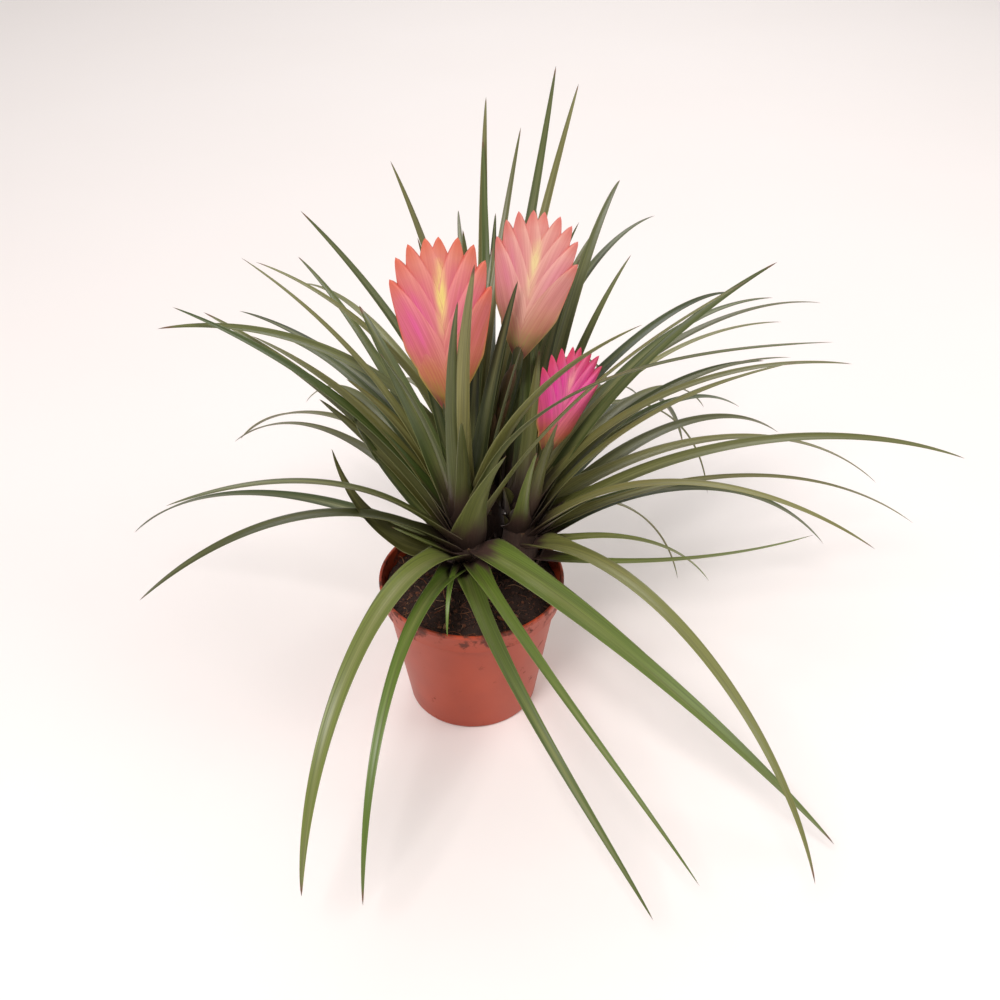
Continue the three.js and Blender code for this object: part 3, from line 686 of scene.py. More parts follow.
def parallel_veins(tree, phase, layer, spacing, stretch, broad, detail):
    """Noise drawn out along a blade: fine veins, "spacing" metres apart, and broad streaks beside them."""
    rib, half, along = (add(tree, "ShaderNodeAttribute", attribute_name=label).outputs["Fac"]
                        for label in ("ring_x", "half", "along"))
    from_rib = add(tree, "ShaderNodeMath", {0: rib, 1: half}, operation="MULTIPLY")
    x = add(tree, "ShaderNodeMath", {0: from_rib, 1: 1 / spacing, 2: phase}, operation="MULTIPLY_ADD")
    y = add(tree, "ShaderNodeMath", {0: along, 1: stretch}, operation="MULTIPLY")
    place = add(tree, "ShaderNodeCombineXYZ", {"X": x, "Y": y, "Z": layer})
    veins = add(tree, "ShaderNodeTexNoise", {"Vector": place, "Scale": 1.0, "Detail": 2.0})
    place = add(tree, "ShaderNodeVectorMath", {0: place, 1: broad}, operation="MULTIPLY")
    return veins, add(tree, "ShaderNodeTexNoise", {"Vector": place, "Scale": 1.0, "Detail": detail})


LEAF_VEINS = 0.8 * MM
waxy_leaf, tree, shader = open_material("waxy green leaf")
along, rib, face, phase, run, reach = (
    add(tree, "ShaderNodeAttribute", attribute_name=label).outputs["Fac"]
    for label in ("along", "ring_x", "ring_y", "phase", "run", "sheathed"))
tone, olive, fresh = (add(tree, "ShaderNodeAttribute", attribute_name=label).outputs["Fac"]
                      for label in ("tone", "olive", "fresh"))
veins, broad = parallel_veins(tree, phase, face, LEAF_VEINS, 2.5, (0.12, 0.8, 1.0), 2.0)
print("leaf veins:", LEAF_VEINS / MM, "mm apart")

# %% Green of the blade: dark to light, olive when young, yellow-green when fresh, paler in the channel
edge = add(tree, "ShaderNodeMath", {0: rib}, operation="ABSOLUTE")
channel = add(tree, "ShaderNodeMapRange", {"Value": edge, "From Min": 0.7, "From Max": 0.05},
              interpolation_type="SMOOTHSTEP")
bloom = add(tree, "ShaderNodeMapRange", {"Value": broad, "From Min": 0.35, "From Max": 0.7})
paler = add(tree, "ShaderNodeMath", {0: channel, 1: bloom}, operation="MULTIPLY")
paler = add(tree, "ShaderNodeMath", {0: paler, 1: 0.6}, operation="MULTIPLY")
green, young = (add(tree, "ShaderNodeMix", {"Factor": tone, "A": linear(dark), "B": linear(light)},
                    data_type="RGBA")
                for dark, light in (("#27301a", "#475322"), ("#5a5523", "#817d49")))
for share, over in ((olive, young), (fresh, linear("#678528")), (paler, linear("#8a8a58"))):
    green = add(tree, "ShaderNodeMix", {"Factor": share, "A": green, "B": over}, data_type="RGBA")
lined = add(tree, "ShaderNodeMapRange",
            {"Value": veins, "From Min": 0.3, "From Max": 0.7, "To Min": 0.7, "To Max": 1.24})
green = add(tree, "ShaderNodeVectorMath", {0: green, "Scale": lined}, operation="SCALE")
# painted highlight: the thin pale line where the very edge catches the light
rim = add(tree, "ShaderNodeMapRange", {"Value": edge, "From Min": 0.93, "From Max": 1.0, "To Max": 0.5})
green = add(tree, "ShaderNodeMix", {"Factor": rim, "A": green, "B": linear("#a8a86e")}, data_type="RGBA")
print("green of the blade:", len(tree.nodes), "nodes so far")

# %% Purple-brown sheath in streaks, farthest up on the underside, painted shade at the root, and a dry tip
streak = add(tree, "ShaderNodeMath", {0: broad, 1: -0.05, 2: run}, operation="MULTIPLY_ADD")
under = add(tree, "ShaderNodeMath", {0: face, 1: 0.006, 2: streak}, operation="MULTIPLY_ADD")
sheath = add(tree, "ShaderNodeMapRange", {"Value": under, "From Min": reach, "From Max": -0.008},
             interpolation_type="SMOOTHSTEP")
# painted shade: the purple-brown darkens to near black towards the root, where the base sits deep in the
# crown
root_shade = add(tree, "ShaderNodeMapRange", {"Value": run, "From Min": reach, "From Max": 0.0})
brown = add(tree, "ShaderNodeMix", {"Factor": root_shade, "A": linear("#4b3831"), "B": linear("#221a16")},
            data_type="RGBA")
dry = add(tree, "ShaderNodeMath", {0: tone, 1: 0.03, 2: along}, operation="MULTIPLY_ADD")
dry = add(tree, "ShaderNodeMapRange", {"Value": dry, "From Min": 0.985, "From Max": 1.005})
colour = green
for share, over in ((sheath, brown), (dry, linear("#6b4a31"))):
    colour = add(tree, "ShaderNodeMix", {"Factor": share, "A": colour, "B": over}, data_type="RGBA")
rough = add(tree, "ShaderNodeMapRange", {"Value": veins, "To Min": 0.34, "To Max": 0.52})
bump = add(tree, "ShaderNodeBump", {"Height": veins, "Strength": 0.5, "Distance": 0.0003})
feed(tree, shader, {"Base Color": colour, "Roughness": rough, "Normal": bump, "IOR": 1.42,
                    "Coat Weight": 0.35, "Coat Roughness": 0.38})
print("leaf material:", len(tree.nodes), "nodes")

# %% [markdown]
# ## Crown material
#
# Between the leaves the short stem shows as old sheath: dry, brown and papery. It is rough, and its fibres
# run upwards, so the pattern is squeezed sideways and stretched in height.

# %% Dry papery sheath
dry_sheath, tree, shader = open_material("dry papery sheath")
there = add(tree, "ShaderNodeTexCoord").outputs["Object"]
fibres_at = add(tree, "ShaderNodeMapping", {"Vector": there, "Scale": (900, 900, 90)})
fibres = add(tree, "ShaderNodeTexNoise", {"Vector": fibres_at, "Scale": 1.0, "Detail": 4.0})
colour = add(tree, "ShaderNodeMix", {"Factor": fibres, "A": linear("#1a120f"), "B": linear("#4c3427")},
             data_type="RGBA")
bump = add(tree, "ShaderNodeBump", {"Height": fibres, "Strength": 0.6, "Distance": 0.0006})
feed(tree, shader, {"Base Color": colour, "Roughness": 0.8, "Normal": bump})
print("sheath material:", len(tree.nodes), "nodes")

# %% [markdown]
# ## The rosettes
#
# Now the leaves are made. Each gets its own tone and a slight roll, because a real blade is never quite
# level: it twists a little towards its tip. The leaves that were written out twist least. Some of them are
# fresh yellow-green, as the small one at the front, and the broad young ones round the crown are olive. The
# crown is the same skin with a round section. Blunt leaf bases clasp it one over the other, and at its foot
# a few short dry scales show where older leaves have died back.

# %% Colour of the written leaves, by rosette and place in its list
FRESH = {
    "front": {0: 0.45, 1: 0.5, 2: 0.3, 3: 0.35, 4: 0.5, 5: 1.0, 11: 0.2, 13: 0.1, 14: 0.15, 21: 0.2},
    "right": {4: 0.3, 5: 0.45, 11: 0.35, 13: 0.3, 14: 0.25},
    "back": {},
}
OLIVE = {
    "front": {0: 0.3, 2: 0.3, 6: 0.75, 7: 0.5, 8: 1.0, 9: 0.8, 10: 0.6, 11: 0.3, 12: 0.95, 13: 0.3, 14: 0.6,
              15: 0.9, 16: 0.6, 17: 0.3, 19: 0.1, 20: 0.0},
    "right": {0: 0.8, 1: 0.9, 2: 1.0, 3: 1.0, 4: 1.0, 6: 0.7, 7: 0.8, 8: 0.8, 9: 1.0, 10: 0.5, 11: 0.5,
              12: 0.8},
    "back": {},
}
DARKEST = {"front": 0.0, "right": 0.35, "back": 0.0}  # tone of the darkest leaf, from 0 to 1
coloured = {name: len(OLIVE[name].keys() | FRESH[name].keys()) for name in OLIVE}
print("leaves with a green of their own:", coloured)

# %% Lines of leaves, and of a round core
LEAF_THICKNESS = 1.5


def sheath_reach(leaf):
    """How far the purple-brown reaches up a leaf, in mm: farthest on upright young ones."""
    return min(np.interp(leaf[2], (20, 45, 70, 86), (5, 11, 32, 40)),
               np.interp(leaf[7], (116, 122, 128, 146), (6, 10, 30, 40)))


def leaf_line(leaf, crown, tone, fresh, olive, roll):
    """What the skin needs of a leaf. It thins towards its tip and ends in a point."""
    walk = leaf_walk(leaf, crown)
    u = walk["u"]
    half, fold = leaf_section(u, leaf[6])
    angle = roll * u ** 1.4
    turn, lean = np.cos(angle)[:, None], np.sin(angle)[:, None]
    across = -walk["across"]
    return {
        "centre": walk["centre"],
        "across": across * turn + walk["up"] * lean,
        "up": walk["up"] * turn - across * lean,
        "half": np.maximum(half, 0),
        "fold": fold,
        "thickness": LEAF_THICKNESS * (1 - 0.5 * u) * np.minimum(1, 14 * (1 - u)),
        "along": u, "run": u * leaf[5], "sheathed": sheath_reach(leaf), "tone": tone, "fresh": fresh,
        "olive": olive, "phase": 40 * tone,
    }


def round_line(centre, along, radius, tone):
    """A line whose section is round: a stem or a crown."""
    side = np.cross(along, (0, -1, 0))
    side /= np.linalg.norm(side, axis=1)[:, None]
    u = np.linspace(0, 1, len(centre))
    return {"centre": centre, "across": side, "up": np.cross(along, side), "half": radius, "fold": 0 * u,
            "thickness": 2 * radius, "along": u, "run": 0, "sheathed": 0, "tone": tone, "fresh": 0,
            "olive": 0, "phase": 40 * tone}


print("a leaf is", LEAF_THICKNESS, "mm thick in the middle of its root")

# %% Dry scales and clasping leaf bases of a crown
SCALE_COUNT = 9
CLASP_COUNT = 10
CROWN_HEIGHTS = np.array([88, 96, 103, 110, 118, 126, 138, 150, 158.0])
CROWN_RADII = np.array([8.6, 8.8, 9.2, 11.4, 13.2, 13.2, 11.4, 8.6, 5.0])


def crown_scales(crown, rng):
    """Short dry scales round the foot of a crown, as leaves of a few centimetres."""
    scales = []
    foot = np.array([*crown, 0])
    for i in range(SCALE_COUNT):
        leaf = (GOLDEN_ANGLE * i + 20 * rng.random(), 0, 62 + 10 * rng.random(), 80, 1.0,
                20 + 12 * rng.random(), 12, 97 + 8 * rng.random())
        line = leaf_line(leaf, crown, 0.2 * rng.random(), 0, 0, 0)
        outward = line["centre"] - foot
        outward[:, :2] *= np.clip((line["centre"][:, 2:] - 90) / 14, 0.8, 1.25)
        line["centre"] = foot + outward
        scales.append(line)
    return scales


def crown_sheaths(crown, rng):
    """Blunt leaf bases that clasp the crown one over the other, so that no bare stem shows between leaves."""
    sheaths = []
    for i in range(CLASP_COUNT):
        leaf = (GOLDEN_ANGLE * i + 20 * rng.random(), 0, 76, 87, 0.6, 34 + 12 * rng.random(), 15,
                99 + 3.4 * i)
        line = leaf_line(leaf, crown, rng.random(), 0, 0.7, 0)
        u = line["along"]
        line["half"] = 12.5 * np.minimum(1, 0.5 + 5 * u) * (1 - u ** 2.5) ** 0.6
        line["fold"] = np.radians(46 - 6 * u)
        line["sheathed"] = 24
        sheaths.append(line)
    return sheaths


def crown_core(crown):
    """The short thick stem that the leaves grow from."""
    steps = len(CROWN_HEIGHTS)
    centre = np.column_stack([np.tile(crown, (steps, 1)), CROWN_HEIGHTS])
    return round_line(centre, np.tile([0.0, 0.0, 1.0], (steps, 1)), CROWN_RADII, 0.1)


print("each crown has", CLASP_COUNT, "clasping bases and", SCALE_COUNT, "scales")

# %% Leaves and crowns
WILD_ROLL = 26
for rosette in ROSETTES:
    rng = np.random.default_rng(rosette["seed"])
    lines = crown_sheaths(rosette["crown"], rng)
    for leaf, number in rosette["placed"]:
        roll = math.radians(rng.uniform(-WILD_ROLL, WILD_ROLL)) * (1 if number is None else 0.3)
        fresh = FRESH[rosette["name"]].get(number, 0.15 * rng.random() ** 3)
        olive = OLIVE[rosette["name"]].get(number, 0.9 * rng.random() ** 1.6)
        dark = DARKEST[rosette["name"]]
        tone = dark + (1 - dark) * rng.random()
        lines.append(leaf_line(leaf, rosette["crown"], tone, fresh, olive, roll))
    name = "leaves_" + rosette["name"]
    blades = run_tree(name, line_mesh(name, lines), skin_tree, {"Ring points": 14, "Material": waxy_leaf})
    parts = [crown_core(rosette["crown"])] + crown_scales(rosette["crown"], rng)
    crown = run_tree("crown_" + rosette["name"], line_mesh("crown", parts), skin_tree,
                     {"Ring points": 16, "Material": dry_sheath})
    report(crown)
    piece = joined(name, [blades, crown])
    report(piece)
    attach(piece, "root")
    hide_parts("rosette_" + rosette["name"])

# %% [markdown]
# ## Flower stems
#
# The stem of the flower head is round, green-brown and wrapped in narrow sheathing leaves, like an asparagus
# spear. It is mostly hidden between the leaves. The same skin makes it: one round line for the stem, and
# short leaves with a steep fold for the sheaths that clasp it.

# %% Stem material: fibrous green stalk
green_stalk, tree, shader = open_material("fibrous green stalk")
there = add(tree, "ShaderNodeTexCoord").outputs["Object"]
fibres_at = add(tree, "ShaderNodeMapping", {"Vector": there, "Scale": (1100, 1100, 60)})
fibres = add(tree, "ShaderNodeTexNoise", {"Vector": fibres_at, "Scale": 1.0, "Detail": 3.0})
along = add(tree, "ShaderNodeAttribute", attribute_name="along").outputs["Fac"]
colour = add(tree, "ShaderNodeMix", {"Factor": along, "A": linear("#3d4a22"), "B": linear("#6e4a34")},
             data_type="RGBA")
shade = add(tree, "ShaderNodeMapRange", {"Value": fibres, "To Min": 0.6, "To Max": 1.3})
colour = add(tree, "ShaderNodeVectorMath", {0: colour, "Scale": shade}, operation="SCALE")
bump = add(tree, "ShaderNodeBump", {"Height": fibres, "Strength": 0.4, "Distance": 0.0004})
feed(tree, shader, {"Base Color": colour, "Roughness": 0.55, "Normal": bump})
print("stalk material:", len(tree.nodes), "nodes")

# %% Stems with their sheathing leaves
STEM_SHEATHS = 5


def stem_sheath(rosette, start_at, angle, length):
    """A short leaf that starts on the stem at the fraction start_at and clasps it."""
    u = np.linspace(0, 1, 25)
    centre, along = scape_line(rosette, start_at + u * length)
    side = np.cross(along, (math.cos(angle), math.sin(angle), 0))
    side /= np.linalg.norm(side, axis=1)[:, None]
    inward = np.cross(along, side)
    swell = np.sin(np.pi * np.minimum(1, 0.25 + 0.75 * u))
    return {"centre": centre - inward * (3.1 + 1.3 * u)[:, None], "across": side, "up": inward,
            "half": 6.2 * np.maximum(swell, 0) ** 0.7, "fold": np.radians(48 - 14 * u),
            "thickness": 1.0 * np.minimum(1, 10 * (1 - u)), "along": 0.25 + 0.6 * u, "run": 0,
            "sheathed": 0, "tone": 0.3, "fresh": 0, "olive": 0, "phase": 3 * angle}


for rosette in ROSETTES:
    u = np.linspace(0, 1, 30)
    centre, along = scape_line(rosette, u)
    lines = [round_line(centre, along, 3.6 - u, 0.3)]
    for i in range(STEM_SHEATHS):
        lines.append(stem_sheath(rosette, 0.3 + 0.1 * i, 1.2 + 2.4 * i, 0.26))
    name = "stem_" + rosette["name"]
    piece = run_tree(name, line_mesh(name, lines), skin_tree,
                     {"Ring points": 16, "Trough": 1.6, "Material": green_stalk})
    report(piece)
    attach(piece, "root")
    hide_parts("scape_" + rosette["name"])

# %% [markdown]
# ## A tree for the bracts
#
# A bract is folded along its outer edge, the keel, so its two flanks lie on both faces of the paddle. Seen
# from the front each flank starts thin at the keel, swells, and ends in a free margin that lies on the next
# bract. The tree sweeps the same ring, but gives it that section: the depth grows with the distance from
# the keel and then stays. A lower bract gets a little more depth than the one above it, and so it lies on
# top of it all the way to its tip. "Keel radius" sets how quickly the flank swells, and "Margin" how blunt
# its free margin is.

# %% Node tree for the bracts
bract_tree, start = open_tree("bracts of a quill", [
    ("Ring points", "NodeSocketInt", 22), ("Keel radius", "NodeSocketFloat", 0.0055),
    ("Margin", "NodeSocketFloat", 0.42), ("Material", "NodeSocketMaterial", None)])
swept = sweep_ring(bract_tree, start)
ring_x, ring_y, half, depth = (
    add(bract_tree, "GeometryNodeInputNamedAttribute", {"Name": label}, data_type="FLOAT")
    for label in ("ring_x", "ring_y", "half", "depth"))
reach = add(bract_tree, "ShaderNodeMath", {0: half, 1: ring_x}, operation="MULTIPLY")
from_keel = add(bract_tree, "ShaderNodeMath", {0: half, 1: reach}, operation="SUBTRACT")
swell = add(bract_tree, "ShaderNodeMath", {0: from_keel, 1: start.outputs["Keel radius"]}, operation="DIVIDE")
swell = add(bract_tree, "ShaderNodeMath", {0: swell, 1: -1.0}, operation="MULTIPLY")
swell = add(bract_tree, "ShaderNodeMath", {0: swell}, operation="EXPONENT")
swell = add(bract_tree, "ShaderNodeMath", {0: 1.0, 1: swell}, operation="SUBTRACT")
size = add(bract_tree, "ShaderNodeMath", {0: ring_y}, operation="ABSOLUTE")
flank = add(bract_tree, "ShaderNodeMath", {0: size, 1: start.outputs["Margin"]}, operation="POWER")
side = add(bract_tree, "ShaderNodeMath", {0: ring_y}, operation="SIGN")
for factor in (side, swell, depth):
    flank = add(bract_tree, "ShaderNodeMath", {0: flank, 1: factor}, operation="MULTIPLY")
close_skin(bract_tree, swept, reach, flank, start)
print("bract tree:", len(bract_tree.nodes), "nodes")

# %% [markdown]
# ## Bract material
#
# Bracts are thick, waxy leaves that hold their colour for months. Light sinks a little into real bracts,
# so they glow softly; the material gives them only broad satin highlights. The pink isn't even. Keels and
# tips have a thin orange-red rim, each bract is paler towards its free margin, and a fine darker line along
# that margin is painted shade where the bract lies on the next one.
# A patch of magenta lies left and right of the middle, a yellow streak marks the zigzag where the two ranks
# meet, and the foot fades through salmon and olive to dark brown. Fine reddish veins run along every bract.
# The large zones belong to the paddle, so they are painted in its own frame with a Mapping node. The veins
# and edges belong to each bract and follow its attributes.

# %% Colours of the three heads
# the colour line serves the reddish veins and the painted shade along each free margin
PAINTS = {
    "front": {"top": "#dc8572", "body": "#d66c77", "mid": "#d87472", "low": "#cb8258", "foot": "#98823c",
              "base": "#35201a", "tip": "#d4603f", "pale": "#eb9d92", "line": "#b9444c", "rose": "#e4609a",
              "spots": [(-0.46, 0.55, 0.8), (0.3, 0.62, 0.45)], "streak": "#f6df86", "edge": "#b3a24c",
              "aged": "#b0652f"},
    "right": {"top": "#d4446c", "body": "#d03f82", "mid": "#c94a70", "low": "#b0583f", "foot": "#857038",
              "base": "#35201a", "tip": "#c43350", "pale": "#e2739c", "line": "#8f2348", "rose": "#e0309c",
              "spots": [(-0.2, 0.6, 1.0), (0.5, 0.6, 0.8)], "streak": "#e9929a", "edge": "#a98a48",
              "aged": "#a5553a"},
    "back": {"top": "#e0958c", "body": "#df9590", "mid": "#dc968a", "low": "#c8946e", "foot": "#93904f",
             "base": "#3a2620", "tip": "#d4695c", "pale": "#f0c0ae", "line": "#bf6066", "rose": "#dd7f9f",
             "spots": [(-0.55, 0.6, 0.5), (0.55, 0.55, 0.5)], "streak": "#f0dca0", "edge": "#b5a764",
             "aged": "#b07a58"},
}


print("heads painted:", ", ".join(PAINTS))

# %% Where a point lies on its paddle and on its bract
BRACT_VEINS = 0.7 * MM


def bract_marks(tree, quill):
    """What the colours follow: x, z and a clouded height on the paddle, and the attributes of the bract."""
    there = add(tree, "ShaderNodeTexCoord").outputs["Object"]
    base = tuple(c * MM for c in quill["base"])
    turn = tuple(math.radians(a) for a in (-quill["back"], quill["lean"], quill["turn"]))
    size = (quill["half_width"] * MM, quill["half_width"] * MM, quill["height"] * MM)
    paddle = add(tree, "ShaderNodeMapping",
                 {"Vector": there, "Location": base, "Rotation": turn, "Scale": size}, vector_type="TEXTURE")
    part = add(tree, "ShaderNodeSeparateXYZ", {0: paddle})
    clouds = add(tree, "ShaderNodeTexNoise", {"Vector": there, "Scale": 80.0, "Detail": 2.0})
    shift = add(tree, "ShaderNodeMath", {0: clouds, 1: 0.16, 2: -0.08}, operation="MULTIPLY_ADD")
    height = add(tree, "ShaderNodeMath", {0: part.outputs["Z"], 1: shift})
    along, rib, rank, aged = (add(tree, "ShaderNodeAttribute", attribute_name=label).outputs["Fac"]
                              for label in ("along", "ring_x", "phase", "aged"))
    veins, streaks = parallel_veins(tree, rank, rank, BRACT_VEINS, 1.6, (0.22, 1.4, 1.0), 1.0)
    return {"x": part.outputs["X"], "z": part.outputs["Z"], "height": height, "along": along, "rib": rib,
            "aged": aged, "veins": veins, "streaks": streaks}


print("bract veins:", round(BRACT_VEINS / MM, 2), "mm apart")

# %% Zones of the paddle: magenta patches, and the yellow streak where the ranks meet
def rose_patch(tree, at, spot):
    """A soft spot on the paddle, broken up in streaks."""
    spot_x, spot_z, share = spot
    away = add(tree, "ShaderNodeCombineXYZ", {"X": at["x"], "Y": at["height"]})
    away = add(tree, "ShaderNodeVectorMath", {0: away, 1: (spot_x, spot_z, 0)}, operation="SUBTRACT")
    away = add(tree, "ShaderNodeVectorMath", {0: away, 1: (1.7, 3.0, 0)}, operation="MULTIPLY")
    away = add(tree, "ShaderNodeVectorMath", {0: away}, operation="LENGTH")
    patch = add(tree, "ShaderNodeMapRange", {"Value": away.outputs["Value"], "From Min": 0.95,
                                             "From Max": 0.1, "To Max": 1.6 * share},
                interpolation_type="SMOOTHSTEP")
    return add(tree, "ShaderNodeMath", {0: patch, 1: at["streaks"]}, operation="MULTIPLY", use_clamp=True)


def yellow_streak(tree, at):
    """Along the zigzag in the middle, brightest in one small spot."""
    off = add(tree, "ShaderNodeMath", {0: at["x"]}, operation="ABSOLUTE")
    middle = add(tree, "ShaderNodeMapRange", {"Value": off, "From Min": 0.17, "From Max": 0.02},
                 interpolation_type="SMOOTHSTEP")
    level = add(tree, "ShaderNodeMapRange", {"Value": at["height"], "From Min": 0.4, "From Max": 0.66})
    above = add(tree, "ShaderNodeMapRange", {"Value": at["height"], "From Min": 0.88, "From Max": 0.7})
    broken = add(tree, "ShaderNodeMapRange", {"Value": at["streaks"], "From Min": 0.3, "From Max": 0.6,
                                              "To Min": 0.35, "To Max": 1.1})
    yellow = add(tree, "ShaderNodeMath", {0: level, 1: above}, operation="MULTIPLY")
    yellow = add(tree, "ShaderNodeMath", {0: yellow, 1: middle}, operation="MULTIPLY")
    return add(tree, "ShaderNodeMath", {0: yellow, 1: broken}, operation="MULTIPLY", use_clamp=True)


print("magenta patches:", {name: len(paint["spots"]) for name, paint in PAINTS.items()})

# %% Marks of each bract: pale flank, brown age, reddish veins, painted shade on the free margin and thin rim
AGED = {0: 0.5, -1: 0.3, -2: 0.9, -3: 0.7}


def pale_flank(tree, at):
    """Paler towards the free margin, but not at the foot of the paddle."""
    inner = add(tree, "ShaderNodeMapRange", {"Value": at["rib"], "From Min": 0.1, "From Max": -0.9,
                                             "To Max": 0.5}, interpolation_type="SMOOTHSTEP")
    raised = add(tree, "ShaderNodeMapRange", {"Value": at["height"], "From Min": 0.08, "From Max": 0.3})
    return add(tree, "ShaderNodeMath", {0: inner, 1: raised}, operation="MULTIPLY")


def worn_foot(tree, at):
    """Bracts at the foot are older and browner."""
    worn = add(tree, "ShaderNodeMath", {0: at["aged"], 1: at["streaks"]}, operation="MULTIPLY")
    return add(tree, "ShaderNodeMath", {0: worn, 1: 1.6}, operation="MULTIPLY", use_clamp=True)


def fine_veins(tree, at):
    """Reddish, and strongest in the lower half."""
    vein = add(tree, "ShaderNodeMapRange", {"Value": at["veins"], "From Min": 0.56, "From Max": 0.42})
    lower = add(tree, "ShaderNodeMapRange", {"Value": at["z"], "From Min": 1.0, "From Max": 0.3,
                                             "To Min": 0.12, "To Max": 0.34})
    return add(tree, "ShaderNodeMath", {0: vein, 1: lower}, operation="MULTIPLY")


def margin_shade_line(tree, at):
    """A fine line along the free margin: painted shade where the bract lies on the next one."""
    return add(tree, "ShaderNodeMapRange", {"Value": at["rib"], "From Min": -0.84, "From Max": -0.98,
                                            "To Max": 0.4})


def thin_rim(tree, at):
    """On keel and tip."""
    keel = add(tree, "ShaderNodeMapRange", {"Value": at["rib"], "From Min": 0.82, "From Max": 1.0,
                                            "To Max": 0.8}, interpolation_type="SMOOTHSTEP")
    point = add(tree, "ShaderNodeMapRange", {"Value": at["along"], "From Min": 0.86, "From Max": 1.0,
                                             "To Max": 0.8})
    return add(tree, "ShaderNodeMath", {0: keel, 1: point}, operation="MAXIMUM")


print("aged bracts of each head:", len(AGED))

# %% Waxy bracts in three colourings
HEIGHT_ZONES = [(0.02, "base"), (0.1, "foot"), (0.2, "low"), (0.36, "mid"), (0.58, "body"), (0.92, "top")]


def set_stops(ramp, stops):
    """Give a colour ramp these stops of position and hex code."""
    while len(ramp.color_ramp.elements) < len(stops):
        ramp.color_ramp.elements.new(0.5)
    for element, (position, code) in zip(ramp.color_ramp.elements, stops):
        element.position = position
        element.color = linear(code)


def bract_material(name, quill, codes):
    """Colours from foot to top, and over them the patches, marks and edges, one after the other."""
    material, tree, shader = open_material("waxy bract " + name)
    paint = {part: linear(code) for part, code in codes.items() if part != "spots"}
    at = bract_marks(tree, quill)
    ramp = add(tree, "ShaderNodeValToRGB", {"Fac": at["height"]})
    set_stops(ramp, [(position, codes[zone]) for position, zone in HEIGHT_ZONES])
    low = add(tree, "ShaderNodeMapRange", {"Value": at["height"], "From Min": 0.45, "From Max": 0.25})
    # margin line: painted shade in the dark vein red above, the olive edge colour lower down; rim: tip
    # colour, then olive
    line, rim = (add(tree, "ShaderNodeMix", {"Factor": low, "A": paint[upper], "B": paint["edge"]},
                     data_type="RGBA") for upper in ("line", "tip"))
    layers = [(rose_patch(tree, at, spot), paint["rose"]) for spot in codes["spots"]]
    layers += [(pale_flank(tree, at), paint["pale"]), (yellow_streak(tree, at), paint["streak"]),
               (worn_foot(tree, at), paint["aged"]), (fine_veins(tree, at), paint["line"]),
               (margin_shade_line(tree, at), line), (thin_rim(tree, at), rim)]
    colour = ramp.outputs["Color"]
    for share, over in layers:
        colour = add(tree, "ShaderNodeMix", {"Factor": share, "A": colour, "B": over}, data_type="RGBA")
    rough = add(tree, "ShaderNodeMapRange", {"Value": at["veins"], "To Min": 0.42, "To Max": 0.6})
    bump = add(tree, "ShaderNodeBump", {"Height": at["veins"], "Strength": 0.5, "Distance": 0.0003})
    feed(tree, shader, {"Base Color": colour, "Roughness": rough, "Normal": bump, "IOR": 1.42})
    return material


bract_finish = {r["name"]: bract_material(r["name"], r["quill"], PAINTS[r["name"]]) for r in ROSETTES}
print("bract materials:", ", ".join(m.name for m in bract_finish.values()))

# %% [markdown]
# ## The quills
#
# Each head has nine large bracts and three smaller ones at its foot, which lie on the large ones with their
# margins meeting in a V. The fine outline keeps the width of the solid one up to the shoulder, then runs
# nearly straight to a small round point, because the crown of tips is what the eye knows this flower by. The
# shoulder is lower on the young right head, whose tips are longer and stand more apart.

# %% Bracts of the three quills
SHOULDERS = {"front": 0.5, "right": 0.36, "back": 0.48}
BASE_BRACT_SIZE = {-1: 0.7, -2: 0.6, -3: 0.44}


def fine_half_width(u, quill, shorter, shoulder):
    """As the solid bract's up to the shoulder, and from there a blunt point."""
    wide = bract_half_width(np.minimum(u, shoulder), quill, shorter)
    toward_tip = np.clip((u - shoulder) / (1 - shoulder), 0, 1)
    return wide * (1 - toward_tip ** 1.15) ** 0.72


def bract_ribbon(quill, k, shoulder):
    """What the bract tree needs of one bract, in the frame of the plant."""
    u = np.linspace(0, 1, 41)
    line = bract_line(quill, k, u, BASE_BRACT_SIZE.get(k))
    matrix = np.array(quill_matrix(quill))
    turn = matrix[:3, :3]
    flat = np.zeros_like(u)
    centre = np.stack([line["centre"][:, 0], flat, line["centre"][:, 1]], 1)
    side = line["side"]
    outward = np.stack([side * line["along"][:, 1], flat, -side * line["along"][:, 0]], 1)
    through = np.tile([0.0, float(side), 0.0], (len(u), 1))
    return {"centre": centre @ turn.T + matrix[:3, 3], "across": outward @ turn.T, "up": through @ turn.T,
            "half": fine_half_width(u, quill, line["shorter"], shoulder),
            "depth": 5.5 - 3.8 * line["f"] + 0.2 * max(0, -k), "along": u, "phase": 7.3 * k,
            "aged": AGED.get(k, 0)}


def heart_line(quill):
    """The stalk inside the foot of the paddle."""
    matrix = np.array(quill_matrix(quill))
    z = np.linspace(-10, 0.5 * quill["height"], 16)
    radius = np.interp(z, [-10, 0, 0.12 * quill["height"], 0.5 * quill["height"]], [3.4, 4.0, 4.2, 0.3])
    centre = np.stack([0 * z, 0 * z, z], 1) @ matrix[:3, :3].T + matrix[:3, 3]
    return round_line(centre, np.tile(matrix[:3, 2], (len(z), 1)), radius, 0.5)


